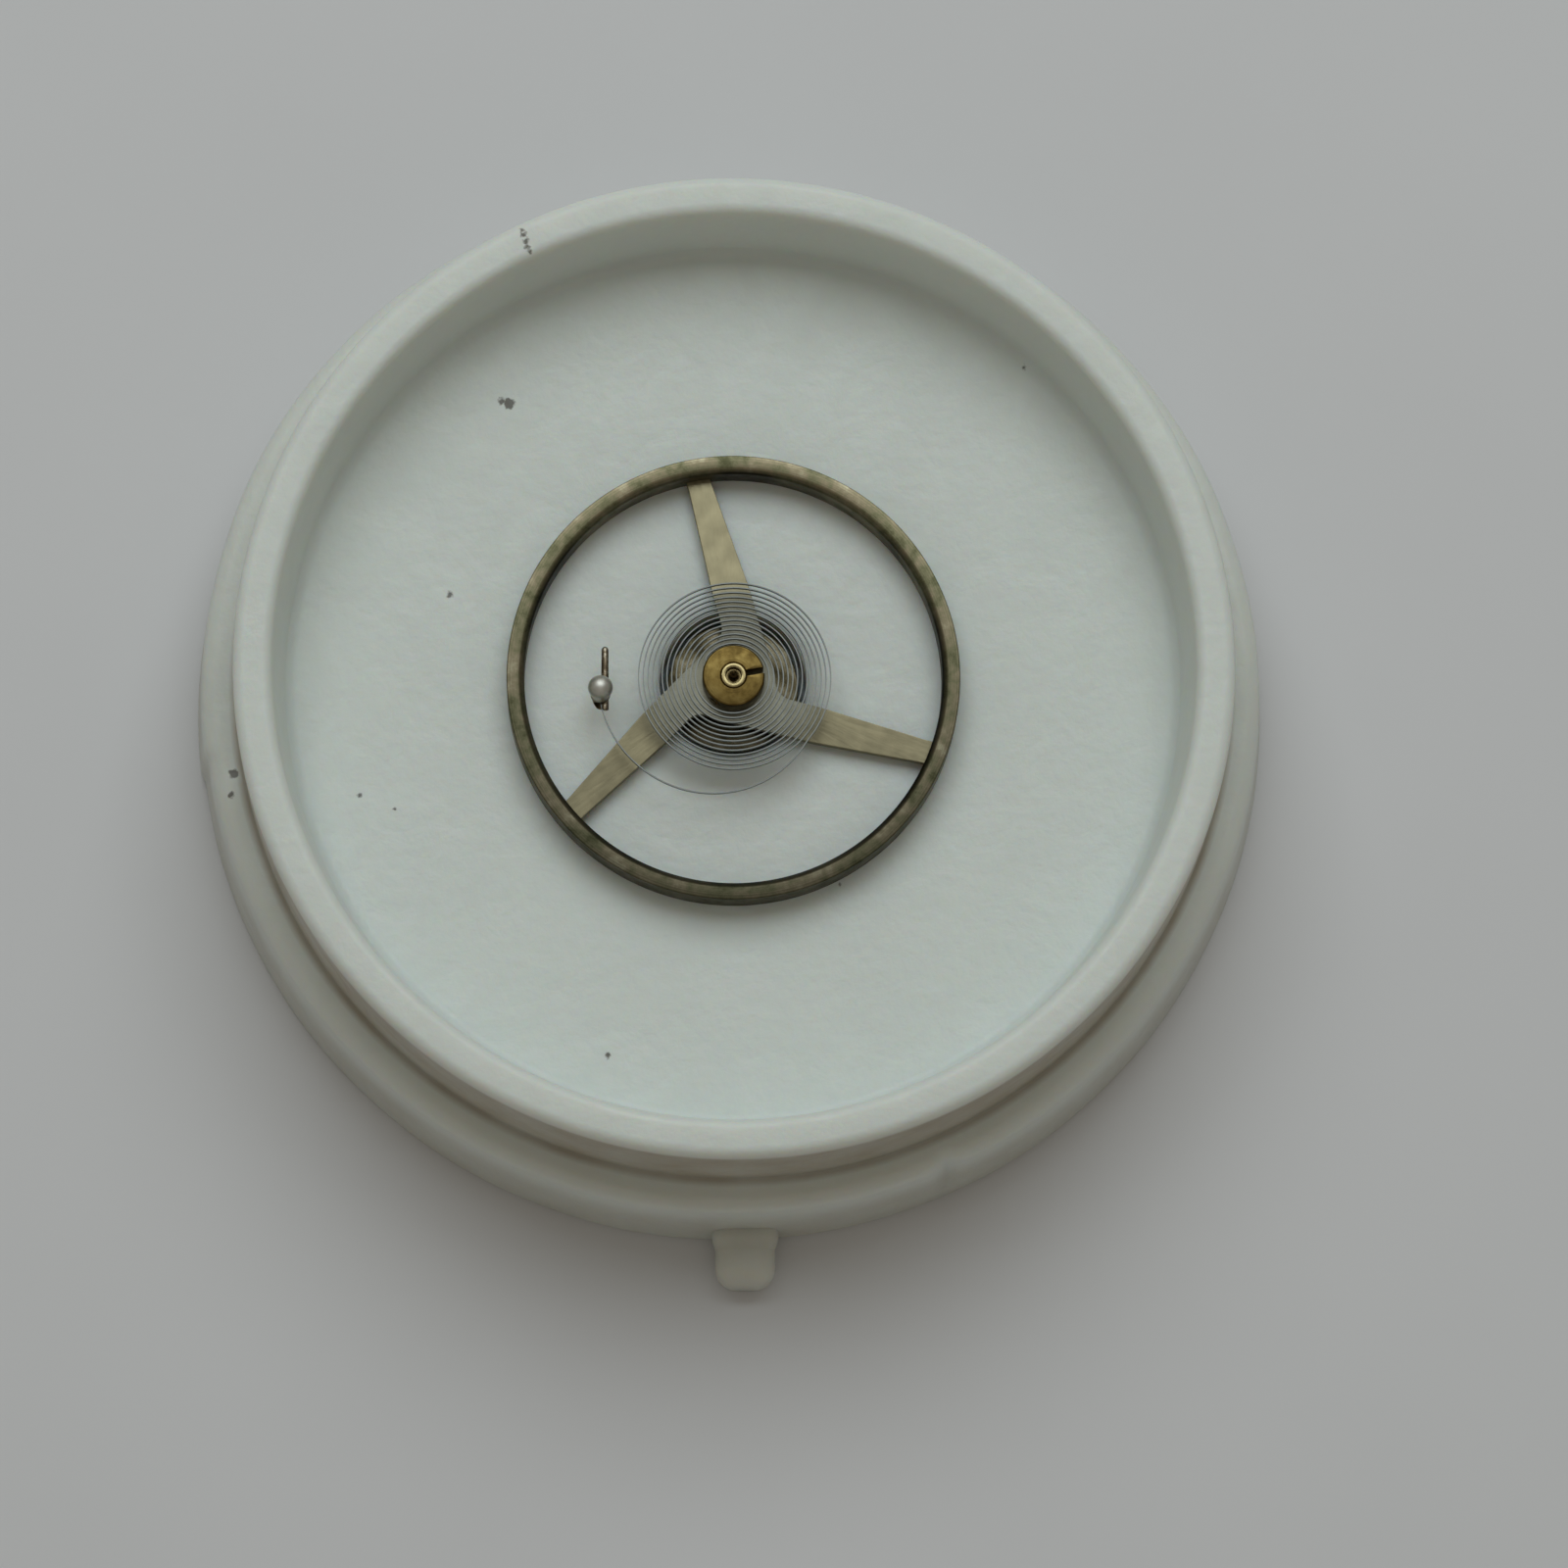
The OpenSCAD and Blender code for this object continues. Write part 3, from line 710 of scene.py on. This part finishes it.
def spring_tree(material):
    """Geometry Nodes: a line bent into the hairspring's path and given the ribbon's section.
    The path starts on a chord inside the collet, winds out in close coils, and sweeps wide to the stud."""
    tree = bpy.data.node_groups.new("hairspring_path", "GeometryNodeTree")
    face = tree.interface
    for name in ("Chord Distance", "First Radius", "Last Radius", "Stud Radius", "Entry Angle", "Chord Start",
                 "Close Sweep", "Outer Sweep", "Tail Sweep", "Thickness", "Width", "Height"):
        face.new_socket(name, in_out="INPUT", socket_type="NodeSocketFloat")
    face.new_socket("Points", in_out="INPUT", socket_type="NodeSocketInt").default_value = SPRING_POINTS
    face.new_socket("Geometry", in_out="OUTPUT", socket_type="NodeSocketGeometry")
    values = {socket.name: socket for socket in add(tree, "NodeGroupInput").outputs}
    line = add(tree, "GeometryNodeCurvePrimitiveLine", {"End": (1.0, 0.0, 0.0)})
    points = add(tree, "GeometryNodeResampleCurve", {"Curve": line, "Count": values["Points"]})
    values["Share"] = add(tree, "GeometryNodeSplineParameter").outputs["Factor"]
    # Each step is a name, an operation and what it works on: a value above it, or a number
    steps = (
        ("Close And Outer", "ADD", "Close Sweep", "Outer Sweep"),
        ("Past Chord", "ADD", "Close And Outer", "Tail Sweep"),
        ("Whole", "ADD", "Past Chord", "Chord Start"),
        ("From Start", "MULTIPLY", "Share", "Whole"),
        ("Swept", "SUBTRACT", "From Start", "Chord Start"),
        ("Chord Sine", "DIVIDE", "Chord Distance", "First Radius"),
        ("Chord Angle", "ARCSINE", "Chord Sine"),
        ("Chord Left", "SUBTRACT", "Chord Angle", "Swept"),
        ("Chord Slope", "SINE", "Chord Left"),
        ("Chord Radius", "DIVIDE", "Chord Distance", "Chord Slope"),
        ("Close Rise", "SUBTRACT", "Last Radius", "First Radius"),
        ("Growth", "DIVIDE", "Close Rise", "Close Sweep"),
        ("Close Radius", "MULTIPLY_ADD", "Growth", "Swept", "First Radius"),
        ("Past Close", "SUBTRACT", "Swept", "Close Sweep"),
        ("Outer Swept", "MAXIMUM", "Past Close", 0.0),
        ("Outer Share", "DIVIDE", "Outer Swept", "Outer Sweep"),
        ("Quarter", "MULTIPLY", "Outer Share", TAU / 4),
        ("Quarter Sine", "SINE", "Quarter"),
        ("Rise", "POWER", "Quarter Sine", 1.15),
        ("Outer Rise", "SUBTRACT", "Stud Radius", "Last Radius"),
        ("Outer Radius", "MULTIPLY_ADD", "Outer Rise", "Rise", "Last Radius"),
        ("Is Outer", "GREATER_THAN", "Past Close", 0.0),
        ("Is Chord", "LESS_THAN", "Swept", 0.0),
        ("Angle", "SUBTRACT", "Entry Angle", "Swept"),
        ("Cosine", "COSINE", "Angle"),
        ("Sine", "SINE", "Angle"),
    )
    for name, operation, *given in steps:
        inputs = {i: values.get(value, value) for i, value in enumerate(given)}
        values[name] = add(tree, "ShaderNodeMath", inputs, operation=operation)
    coil = add(tree, "GeometryNodeSwitch", {
        "Switch": values["Is Outer"], "False": values["Close Radius"], "True": values["Outer Radius"]},
        input_type="FLOAT")
    radius = add(tree, "GeometryNodeSwitch", {
        "Switch": values["Is Chord"], "False": coil, "True": values["Chord Radius"]},
        input_type="FLOAT")
    flat = add(tree, "ShaderNodeCombineXYZ", {"X": values["Cosine"], "Y": values["Sine"]})
    reach = add(tree, "ShaderNodeVectorMath", {0: flat, "Scale": radius}, operation="SCALE")
    lift = add(tree, "ShaderNodeCombineXYZ", {"Z": values["Height"]})
    at = add(tree, "ShaderNodeVectorMath", {0: reach, 1: lift}, operation="ADD")
    bent = add(tree, "GeometryNodeSetPosition", {"Geometry": points, "Position": at})
    upright = add(tree, "GeometryNodeSetCurveNormal", {"Curve": bent})
    upright.mode = "Z_UP"
    marked = add(tree, "GeometryNodeStoreNamedAttribute", {
        "Geometry": upright, "Name": "along", "Value": values["Share"]},
        data_type="FLOAT", domain="POINT")
    section = add(tree, "GeometryNodeCurvePrimitiveQuadrilateral", {
        "Width": values["Thickness"], "Height": values["Width"]})
    ribbon = add(tree, "GeometryNodeCurveToMesh", {
        "Curve": marked, "Profile Curve": section, "Fill Caps": True})
    real = add(tree, "GeometryNodeRealizeInstances", {"Geometry": ribbon})
    done = add(tree, "GeometryNodeSetMaterial", {"Geometry": real, "Material": material})
    add(tree, "NodeGroupOutput", {"Geometry": done})
    return tree


def rod(name, start, end, r1, r2, round_end=True):
    """A round pin from one point to another, with a broken edge or a domed end."""
    length = (end - start).length
    tip = arc((0, length - r2), r2, 0, 90, 6) if round_end else [(r2, length), (0, length)]
    outline = [(0, 0), (r1 * 0.8, 0), (r1, r1 * 0.2)] + tip
    outline[-1] = (0, outline[-1][1])
    obj = lathe(name, outline, 32)
    direction = (end - start).normalized()
    turn_to = direction.to_track_quat("Z", "Y").to_matrix().to_4x4()
    return place(obj, Matrix.Translation(start) @ turn_to)


# ---------------------------------------------------------------- settings

def length(name, description, default, most=20 * MM, least=0.0):
    return bpy.props.FloatProperty(
        name=name, description=description, default=default, min=least, max=most,
        precision=5, subtype="DISTANCE", unit="LENGTH")


def angle(name, description, degrees):
    return bpy.props.FloatProperty(
        name=name, description=description, default=math.radians(degrees), subtype="ANGLE")


def colour(name, description, code):
    return bpy.props.FloatVectorProperty(
        name=name, description=description, default=srgb(code), size=4, min=0, max=1, subtype="COLOR")


class DishSettings(bpy.types.PropertyGroup):
    rim_wall: length("Rim wall", "Thickness of the rim's wall", 0.88 * MM)
    well_radius: length("Centre well", "Radius of the well under the balance", 1.65 * MM)
    nub_width: length("Nub width", "Width of the gate nub", 1.35 * MM)
    nub_height: length("Nub height", "Height of the gate nub", 1.2 * MM)
    nub_side: length("Nub offset", "How far the gate nub sits to one side", 0.33 * MM)
    plastic: colour("Plastic", "Colour of the moulded plastic", "#e4ebe6")


class WheelSettings(bpy.types.PropertyGroup):
    rim_width: length("Rim width", "Width of the wheel's rim", 0.4 * MM)
    rim_chamfer: length("Rim chamfer", "Chamfer on the rim's inner top edge", 0.12 * MM)
    hub_radius: length("Hub", "Radius of the wheel's hub", 0.96 * MM)
    arm_count: bpy.props.IntProperty(name="Arms", description="Number of arms", default=3, min=2, max=4)
    arm_tip: length("Arm tip", "Width of an arm at the rim", 0.54 * MM)
    arm_root: length("Arm root", "Width of an arm near the hub", 0.84 * MM)
    arm_offset: length("Arm offset", "How far an arm's centre line misses the axis", 0.52 * MM)
    arm_thickness: length("Arm thickness", "Thickness of the arms", ARM_T)
    arm_turn: angle("First arm", "Where the first arm meets the rim", 100)
    arm_colour: colour("Arms", "Colour of the gilt arms", "#978f73")


class StaffSettings(bpy.types.PropertyGroup):
    roller_seat: length("Roller seat", "Radius of the staff under the rollers", 0.22 * MM)
    wheel_seat: length("Wheel seat", "Radius of the staff under the wheel", 0.35 * MM)
    collet_seat: length("Collet seat", "Radius of the staff under the collet", 0.28 * MM)
    jewel_radius: length("Jewel", "Radius of the impulse jewel", 0.17 * MM)
    jewel_orbit: length("Jewel orbit", "Distance from the axis to the impulse jewel", 1.05 * MM)
    jewel_turn: angle("Jewel angle", "Where the impulse jewel stands", 73)


class SpringSettings(bpy.types.PropertyGroup):
    thickness: length("Thickness", "Thickness of the ribbon", 0.025 * MM)
    width: length("Width", "Height of the ribbon", 0.12 * MM)
    first_radius: length("First coil", "Radius of the first coil", 0.76 * MM)
    last_radius: length("Last coil", "Radius at which the close coils end", 2.2 * MM)
    stud_orbit: length("Stud orbit", "Radius at which the outer coil reaches the stud", 3.05 * MM)
    full_turns: bpy.props.IntProperty(name="Turns", description="Full close turns", default=13, min=5, max=16)
    elbow: angle("Elbow", "Where the outer coil leaves the close ones", -40)
    outer_sweep: angle("Outer sweep", "Angle from the elbow to the stud", 136)
    slot_width: length("Collet slot", "Width of the slot that splits the collet", 0.14 * MM)
    slot_turn: angle("Slot angle", "Where the collet is split", 10)
    hole_distance: length("Pin hole", "Distance from the axis to the collet's pin hole", 0.5 * MM)
    stud_lean: angle("Stud lean", "How far the stud leans over", 34)
    stud_radius: length("Stud head", "Radius of the stud's domed head", STUD_HEAD_R)
    stud_length: length("Stud length", "From the stud's head to its foot", 0.6 * MM)


class StageSettings(bpy.types.PropertyGroup):
    floor_colour: colour("Floor", "Colour of the surface under the dish", "#dcdddf")
    distance: length("Camera distance", "From the camera to the dish", 200 * MM, 1.0)
    tilt: angle("Tilt", "How far the camera leans from straight down", 11.5)
    azimuth: angle("Azimuth", "Which side the camera leans to", -5.4)
    view_width: length("View width", "Width of the picture at the dish's ledge", 35.47 * MM, 1.0)
    aim_x: length(
        "Aim right", "How far the dish sits right of the picture's middle", -1.16 * MM, least=-20 * MM)
    aim_y: length(
        "Aim up", "How far the dish sits above the picture's middle", 2.15 * MM, least=-20 * MM)
    key_power: bpy.props.FloatProperty(
        name="Window light", description="Power of the window light in watts", default=0.53, min=0)
    sky: bpy.props.FloatProperty(
        name="Room light", description="Strength of the room's own light", default=0.21, min=0)


GROUPS = {
    "balance_dish": DishSettings,
    "balance_wheel_settings": WheelSettings,
    "balance_staff_settings": StaffSettings,
    "balance_spring": SpringSettings,
    "balance_stage": StageSettings,
}


# ---------------------------------------------------------------- operators

class BALANCE_OT_stage(bpy.types.Operator):
    """Lay the pale surface, hang the lights and set the camera"""
    bl_idname = "balance.stage"
    bl_label = "Stage, lights and camera"

    def execute(self, context):
        settings = context.scene.balance_stage
        bm = bmesh.new()
        bmesh.ops.create_grid(bm, x_segments=8, y_segments=8, size=FLOOR_HALF)
        floor = as_object("floor", closed_mesh("floor", bm))
        dress(floor, pale_card(settings))

        world = bpy.data.worlds.new("room")
        world.use_nodes = True
        context.scene.world = world
        shade = world.node_tree.nodes["Background"]
        shade.inputs["Color"].default_value = srgb("#fbf3e4")
        shade.inputs["Strength"].default_value = settings.sky

        # The window is a wide soft source beyond the dish; a weak card fills the near side
        self.light(context, "window", 57, (0.30, 0.24), settings.key_power, "#eef6f9")
        self.light(context, "card", 128, (0.25, 0.2), settings.key_power * CARD_SHARE, "#fff4ea")

        data = bpy.data.cameras.new("camera")
        camera = bpy.data.objects.new("camera", data)
        context.scene.collection.objects.link(camera)
        context.scene.camera = camera
        lean, side = settings.tilt, settings.azimuth
        back = Vector((math.sin(side) * math.sin(lean), -math.cos(side) * math.sin(lean), math.cos(lean)))
        right = Vector((0, 1, 0)).cross(back).normalized()
        up = back.cross(right)
        aim = Vector((0, 0, LEDGE_Z))
        spot = aim - settings.aim_x * right - settings.aim_y * up + settings.distance * back
        turned = Matrix((right, up, back)).transposed().to_4x4()
        camera.matrix_world = Matrix.Translation(spot) @ turned
        data.sensor_width = 36
        data.lens = data.sensor_width * settings.distance / settings.view_width
        data.clip_start, data.clip_end = 0.001, 10
        context.scene.view_settings.view_transform = "Standard"
        return {"FINISHED"}

    def light(self, context, name, elevation, size, power, code):
        data = bpy.data.lights.new(name, "AREA")
        data.shape = "RECTANGLE"
        data.size, data.size_y = size
        data.energy = power
        data.color = srgb(code)[:3]
        lamp = bpy.data.objects.new(name, data)
        context.scene.collection.objects.link(lamp)
        e = math.radians(elevation)
        direction = Vector((0, math.cos(e), math.sin(e)))
        lamp.location = direction * LIGHT_DISTANCE
        lamp.rotation_euler = direction.to_track_quat("Z", "Y").to_euler()


class BALANCE_OT_dish(bpy.types.Operator):
    """Mould the round dish with its stepped rim, centre well and gate nub"""
    bl_idname = "balance.dish"
    bl_label = "Dish"

    def execute(self, context):
        settings = context.scene.balance_dish
        piece = lathe("moulded_dish", dish_section(settings), 480, dish_stray)
        plastic = moulded_white_plastic(settings)
        nub = dress(nub_shape(settings), plastic)
        dress(piece, plastic)
        carve(piece, nub, operation="UNION")
        hand_over(piece, "dish", "dish", 40)
        return {"FINISHED"}


class BALANCE_OT_wheel(bpy.types.Operator):
    """Turn the wheel's rim and stamp its leaning arms"""
    bl_idname = "balance.wheel"
    bl_label = "Balance wheel"

    def execute(self, context):
        settings = context.scene.balance_wheel_settings
        inner = WHEEL_R - settings.rim_width
        low_z, top = WHEEL_Z
        edge, chamfer = 0.025 * MM, settings.rim_chamfer
        outline = (
            arc((inner + edge, low_z + edge), edge, 180, 270, 4)
            + arc((WHEEL_R - edge, low_z + edge), edge, 270, 360, 4)
            + arc((WHEEL_R - edge, top - edge), edge, 0, 90, 4)
            + [(inner + chamfer + 0.02 * MM, top), (inner + chamfer, top - 0.006 * MM)]
            + [(inner + 0.01 * MM, top - chamfer), (inner, top - chamfer - 0.03 * MM)])
        piece = dress(lathe("wheel", outline, 288), tarnished_rim_nickel())

        plan = arm_sector(settings)
        bm = bmesh.new()
        face = bm.faces.new([bm.verts.new((x, y, ARM_Z)) for x, y in plan])
        face.normal_update()
        if face.normal.z < 0:
            face.normal_flip()
        mesh = bpy.data.meshes.new("arms")
        bm.to_mesh(mesh)
        bm.free()
        arms = as_object("arms", mesh)
        gilt = brushed_gilt_nickel(settings)
        modifier = arms.modifiers.new("arms", "NODES")
        modifier.node_group = arms_tree(gilt)
        first = settings.arm_turn + math.asin(settings.arm_offset / ARM_REACH)
        set_inputs(modifier, Arms=settings.arm_count, Thickness=settings.arm_thickness, First_Angle=first)
        settle(arms)
        bevel(arms, 0.02 * MM, 35)
        dress(arms, gilt)
        carve(piece, arms, operation="UNION")
        hand_over(piece, "balance", "balance_wheel")
        return {"FINISHED"}


class BALANCE_OT_staff(bpy.types.Operator):
    """Turn the staff, its rollers and the impulse jewel"""
    bl_idname = "balance.staff"
    bl_label = "Staff, rollers and jewel"

    def execute(self, context):
        settings = context.scene.balance_staff_settings
        bronze = turned_metal(
            "polished_roller_bronze", ("#4b4432", "#6b6249", "#8c836c"), 0.24, ring_mm=0.06, ring_depth=0.4)
        self.staff(settings)
        self.table(settings, bronze)
        self.safety(settings, bronze)
        self.jewel(settings)
        return {"FINISHED"}

    def staff(self, settings):
        low_z, top_z = STAFF_Z
        arm_top = ARM_Z + ARM_T
        shoulder = SAFETY_Z[0] - 0.15 * MM
        seat = FLOOR_Z - 0.1 * MM
        roller, wheel, collet = settings.roller_seat, settings.wheel_seat, settings.collet_seat
        flange = 0.6 * MM
        soft = 0.02 * MM
        neck = COLLET_Z[1] - 0.05 * MM
        outline = (
            arc((0, low_z + PIVOT_R), PIVOT_R, -90, 0, 6) + [(PIVOT_R, low_z + PIVOT_LEN)]
            + [(0.16 * MM, shoulder - 0.1 * MM), (roller, shoulder), (roller, seat - 0.3 * MM)]
            + arc((flange - soft, seat + soft), soft, -45, 0, 3)
            + arc((flange - soft, ARM_Z - soft), soft, 0, 90, 3)
            + [(wheel, ARM_Z), (wheel, arm_top), (collet, arm_top), (collet, neck + 0.03 * MM)]
            + arc((collet - soft, neck + 0.03 * MM), soft, 0, 90, 3)
            + arc((0.19 * MM, neck + 0.04 * MM), 0.01 * MM, 90, 180, 2)
            + [(0.16 * MM, neck - 0.06 * MM), (0.12 * MM, neck - 0.06 * MM)]
            + [(PIVOT_R + 0.035 * MM, top_z - PIVOT_LEN - 0.03 * MM), (PIVOT_R, top_z - PIVOT_LEN)]
            + arc((0, top_z - PIVOT_R), PIVOT_R, 0, 90, 6))
        outline[0] = (0, low_z)
        outline[-1] = (0, top_z)
        piece = dress(lathe("staff", outline, 96), polished_staff_steel())
        hand_over(piece, "balance", "balance_staff")

    def table(self, settings, bronze):
        low_z, top = ROLLER_Z
        disc = top - 0.2 * MM
        edge, pipe, bore = 0.03 * MM, 0.42 * MM, settings.roller_seat
        outline = (
            [(bore, low_z), (pipe, low_z), (pipe, disc)]
            + arc((ROLLER_R - edge, disc + edge), edge, 270, 360, 4)
            + arc((ROLLER_R - edge, top - edge), edge, 0, 90, 4)
            + [(bore + 0.25 * MM, top), (bore + 0.22 * MM, top - 0.02 * MM), (bore, top - 0.02 * MM)])
        piece = lathe("roller", outline, 160)
        hole = drill("hole", settings.jewel_radius, disc - edge, top + edge, 40)
        place(hole, Matrix.Translation(polar(settings.jewel_orbit, settings.jewel_turn)))
        carve(piece, hole)
        dress(piece, bronze)
        hand_over(piece, "balance", "roller_table")

    def safety(self, settings, bronze):
        low_z, top = SAFETY_Z
        edge, bore = 0.02 * MM, settings.roller_seat
        outline = (
            [(bore, low_z)] + arc((SAFETY_R - edge, low_z + edge), edge, 270, 360, 4)
            + arc((SAFETY_R - edge, top - edge), edge, 0, 90, 4) + [(bore, top)])
        piece = lathe("safety", outline, 96)
        notch_r = 0.26 * MM
        notch = drill("notch", notch_r, low_z - edge, top + edge, 48)
        place(notch, Matrix.Translation(polar(SAFETY_R + notch_r / 3, settings.jewel_turn)))
        carve(piece, notch)
        dress(piece, bronze)
        hand_over(piece, "balance", "safety_roller")

    def jewel(self, settings):
        r = settings.jewel_radius * 0.99
        flat = r / 3
        reach = math.degrees(math.acos(flat / r))
        plan = arc((settings.jewel_orbit, 0), r, reach, 360 - reach, 28)
        piece = slab("jewel", turn(plan, settings.jewel_turn),
                     low("impulse_jewel").z, high("impulse_jewel").z)
        bevel(piece, FINE_EDGE, 30)
        dress(piece, synthetic_ruby())
        hand_over(piece, "balance", "impulse_jewel")


class BALANCE_OT_collet(bpy.types.Operator):
    """Turn and split the collet, and drive its pin"""
    bl_idname = "balance.collet"
    bl_label = "Collet and pin"

    def execute(self, context):
        settings = context.scene.balance_spring
        staff = context.scene.balance_staff_settings
        low_z, top = COLLET_Z
        edge, bore = 0.05 * MM, staff.collet_seat
        outline = (
            [(bore, low_z)] + arc((COLLET_R - edge, low_z + edge), edge, 270, 360, 4)
            + arc((COLLET_R - edge, top - edge), edge, 0, 90, 5)
            + [(bore + 0.03 * MM, top), (bore, top - 0.03 * MM)])
        piece = lathe("collet_ring", outline, 128)
        half = settings.slot_width / 2
        slot = slab("slot", turn([(0.1 * MM, -half), (1 * MM, -half), (1 * MM, half), (0.1 * MM, half)],
                                 settings.slot_turn), low_z - edge, top + edge)
        across = settings.slot_turn + math.pi / 2
        along = polar(1, across)
        middle = Vector((-math.sin(across), math.cos(across), 0)) * settings.hole_distance
        middle.z = SPRING_Z
        hole = rod("hole", middle - along * MM, middle + along * MM, 0.1 * MM, 0.1 * MM, False)
        carve(piece, slot, hole)
        bevel(piece, FINE_EDGE, 50)
        brass = turned_metal(
            "turned_brass", ("#5c4b27", "#715e33", "#826f40"), 0.33, ring_mm=0.05, ring_depth=0.22,
            patina_mm=0.35)
        dress(piece, brass)
        hand_over(piece, "balance", "collet")

        inward = middle * ((settings.hole_distance - PIN_SIDE) / settings.hole_distance)
        inward.z = SPRING_Z
        half_pin = along * 0.55 * MM
        pin = rod("collet_taper_pin", inward - half_pin, inward + half_pin, 0.05 * MM, 0.045 * MM)
        dress(pin, brass)
        hand_over(pin, "balance", "collet_pin")
        return {"FINISHED"}


class BALANCE_OT_hairspring(bpy.types.Operator):
    """Wind the flat hairspring from the collet out to the stud"""
    bl_idname = "balance.hairspring"
    bl_label = "Hairspring"

    def execute(self, context):
        settings = context.scene.balance_spring
        chord = settings.hole_distance + PIN_SIDE
        hole_turn = settings.slot_turn + math.pi / 2
        entry = hole_turn + math.asin(chord / settings.first_radius)
        close = TAU * settings.full_turns + entry - settings.elbow
        alloy = rolled_spring_alloy()
        spring = as_object("spring_ribbon", bpy.data.meshes.new("spring_ribbon"))
        modifier = spring.modifiers.new("path", "NODES")
        modifier.node_group = spring_tree(alloy)
        set_inputs(
            modifier, Chord_Distance=chord, First_Radius=settings.first_radius,
            Last_Radius=settings.last_radius, Stud_Radius=settings.stud_orbit, Entry_Angle=entry,
            Chord_Start=math.radians(72), Close_Sweep=close, Outer_Sweep=settings.outer_sweep,
            Tail_Sweep=math.radians(4), Thickness=settings.thickness, Width=settings.width,
            Height=SPRING_Z, Points=SPRING_POINTS)
        settle(spring)
        if not spring.data.polygons:
            raise RuntimeError("the hairspring's path made no mesh")
        spring.data.shade_smooth()
        spring.data.set_sharp_from_angle(angle=math.radians(32))
        # The collet's end turns with the wheel and the stud's end stays: the winding spreads along the ribbon
        mesh = spring.data
        along = [0.0] * len(mesh.vertices)
        mesh.attributes["along"].data.foreach_get("value", along)
        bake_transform(spring, "spring_and_stud", "balance",
                 start=(-settings.stud_orbit, 0, SPRING_Z), end=(0, 0, SPRING_Z))
        mesh.attributes["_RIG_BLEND"].data.foreach_set("value", [1.0 - w for w in along])
        mesh.attributes.remove(mesh.attributes["along"])
        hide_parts("hairspring")
        return {"FINISHED"}


class BALANCE_OT_stud(bpy.types.Operator):
    """Make the leaning stud and the pin that holds the spring in it"""
    bl_idname = "balance.stud"
    bl_label = "Stud and pin"

    def execute(self, context):
        settings = context.scene.balance_spring
        head, reach = settings.stud_radius, settings.stud_length
        neck, foot = 0.22 * MM, 0.11 * MM
        down = math.degrees(math.asin(neck / head))
        outline = (
            [(0, -reach), (foot * 0.8, -reach), (foot, -reach + foot * 0.2)]
            + [(0.17 * MM, -reach * 0.72), (0.2 * MM, -reach / 2), (neck, -reach * 0.42)]
            + arc((0, 0), head, -90 + down + 4, 90, 16))
        outline[-1] = (0, head)
        piece = lathe("stud_body", outline, 64)
        centre = Vector((STUD_X, STUD_HEAD_Y, STUD_HEAD_Z))
        place(piece, Matrix.Translation(centre) @ Matrix.Rotation(-settings.stud_lean, 4, "X"))
        hole_y = STUD_HEAD_Y - (STUD_HEAD_Z - SPRING_Z) * math.tan(settings.stud_lean)
        hole = rod("hole", Vector((STUD_X, hole_y - MM, SPRING_Z)), Vector((STUD_X, hole_y + MM, SPRING_Z)),
                   0.15 * MM, 0.15 * MM, False)
        carve(piece, hole)
        bevel(piece, FINE_EDGE, 45)
        dress(piece, burnished_stud_steel())
        hand_over(piece, "spring_and_stud", "stud", 40)

        side = (low("stud_pin").x + high("stud_pin").x) / 2
        pin = rod("stud_taper_pin", Vector((side, low("stud_pin").y, SPRING_Z)),
                  Vector((side, high("stud_pin").y, SPRING_Z)), 0.09 * MM, 0.079 * MM)
        dress(pin, turned_metal(
            "tarnished_pin_brass", ("#5f5444", "#7b6e5a", "#a8a090"), 0.36, ring_mm=0.05, ring_depth=0.3,
            patina_mm=0.12))
        hand_over(pin, "spring_and_stud", "stud_pin")
        return {"FINISHED"}


class BALANCE_PT_panel(bpy.types.Panel):
    """The steps that build the balance in its dish"""
    bl_label = "Balance in a dish"
    bl_idname = "BALANCE_PT_panel"
    bl_space_type = "VIEW_3D"
    bl_region_type = "UI"
    bl_category = "Balance"

    def draw(self, context):
        for step in STEPS:
            self.layout.operator(step.bl_idname)


STEPS = (
    BALANCE_OT_stage,
    BALANCE_OT_dish,
    BALANCE_OT_wheel,
    BALANCE_OT_staff,
    BALANCE_OT_collet,
    BALANCE_OT_hairspring,
    BALANCE_OT_stud,
)


def register():
    for group in GROUPS.values():
        bpy.utils.register_class(group)
    for name, group in GROUPS.items():
        setattr(bpy.types.Scene, name, bpy.props.PointerProperty(type=group))
    for step in (*STEPS, BALANCE_PT_panel):
        bpy.utils.register_class(step)


def unregister():
    for step in reversed((*STEPS, BALANCE_PT_panel)):
        bpy.utils.unregister_class(step)
    for name, group in GROUPS.items():
        delattr(bpy.types.Scene, name)
        bpy.utils.unregister_class(group)


def main():
    register()
    for step in STEPS:
        family, name = step.bl_idname.split(".")
        getattr(getattr(bpy.ops, family), name)()


if __name__ == "__main__":
    main()
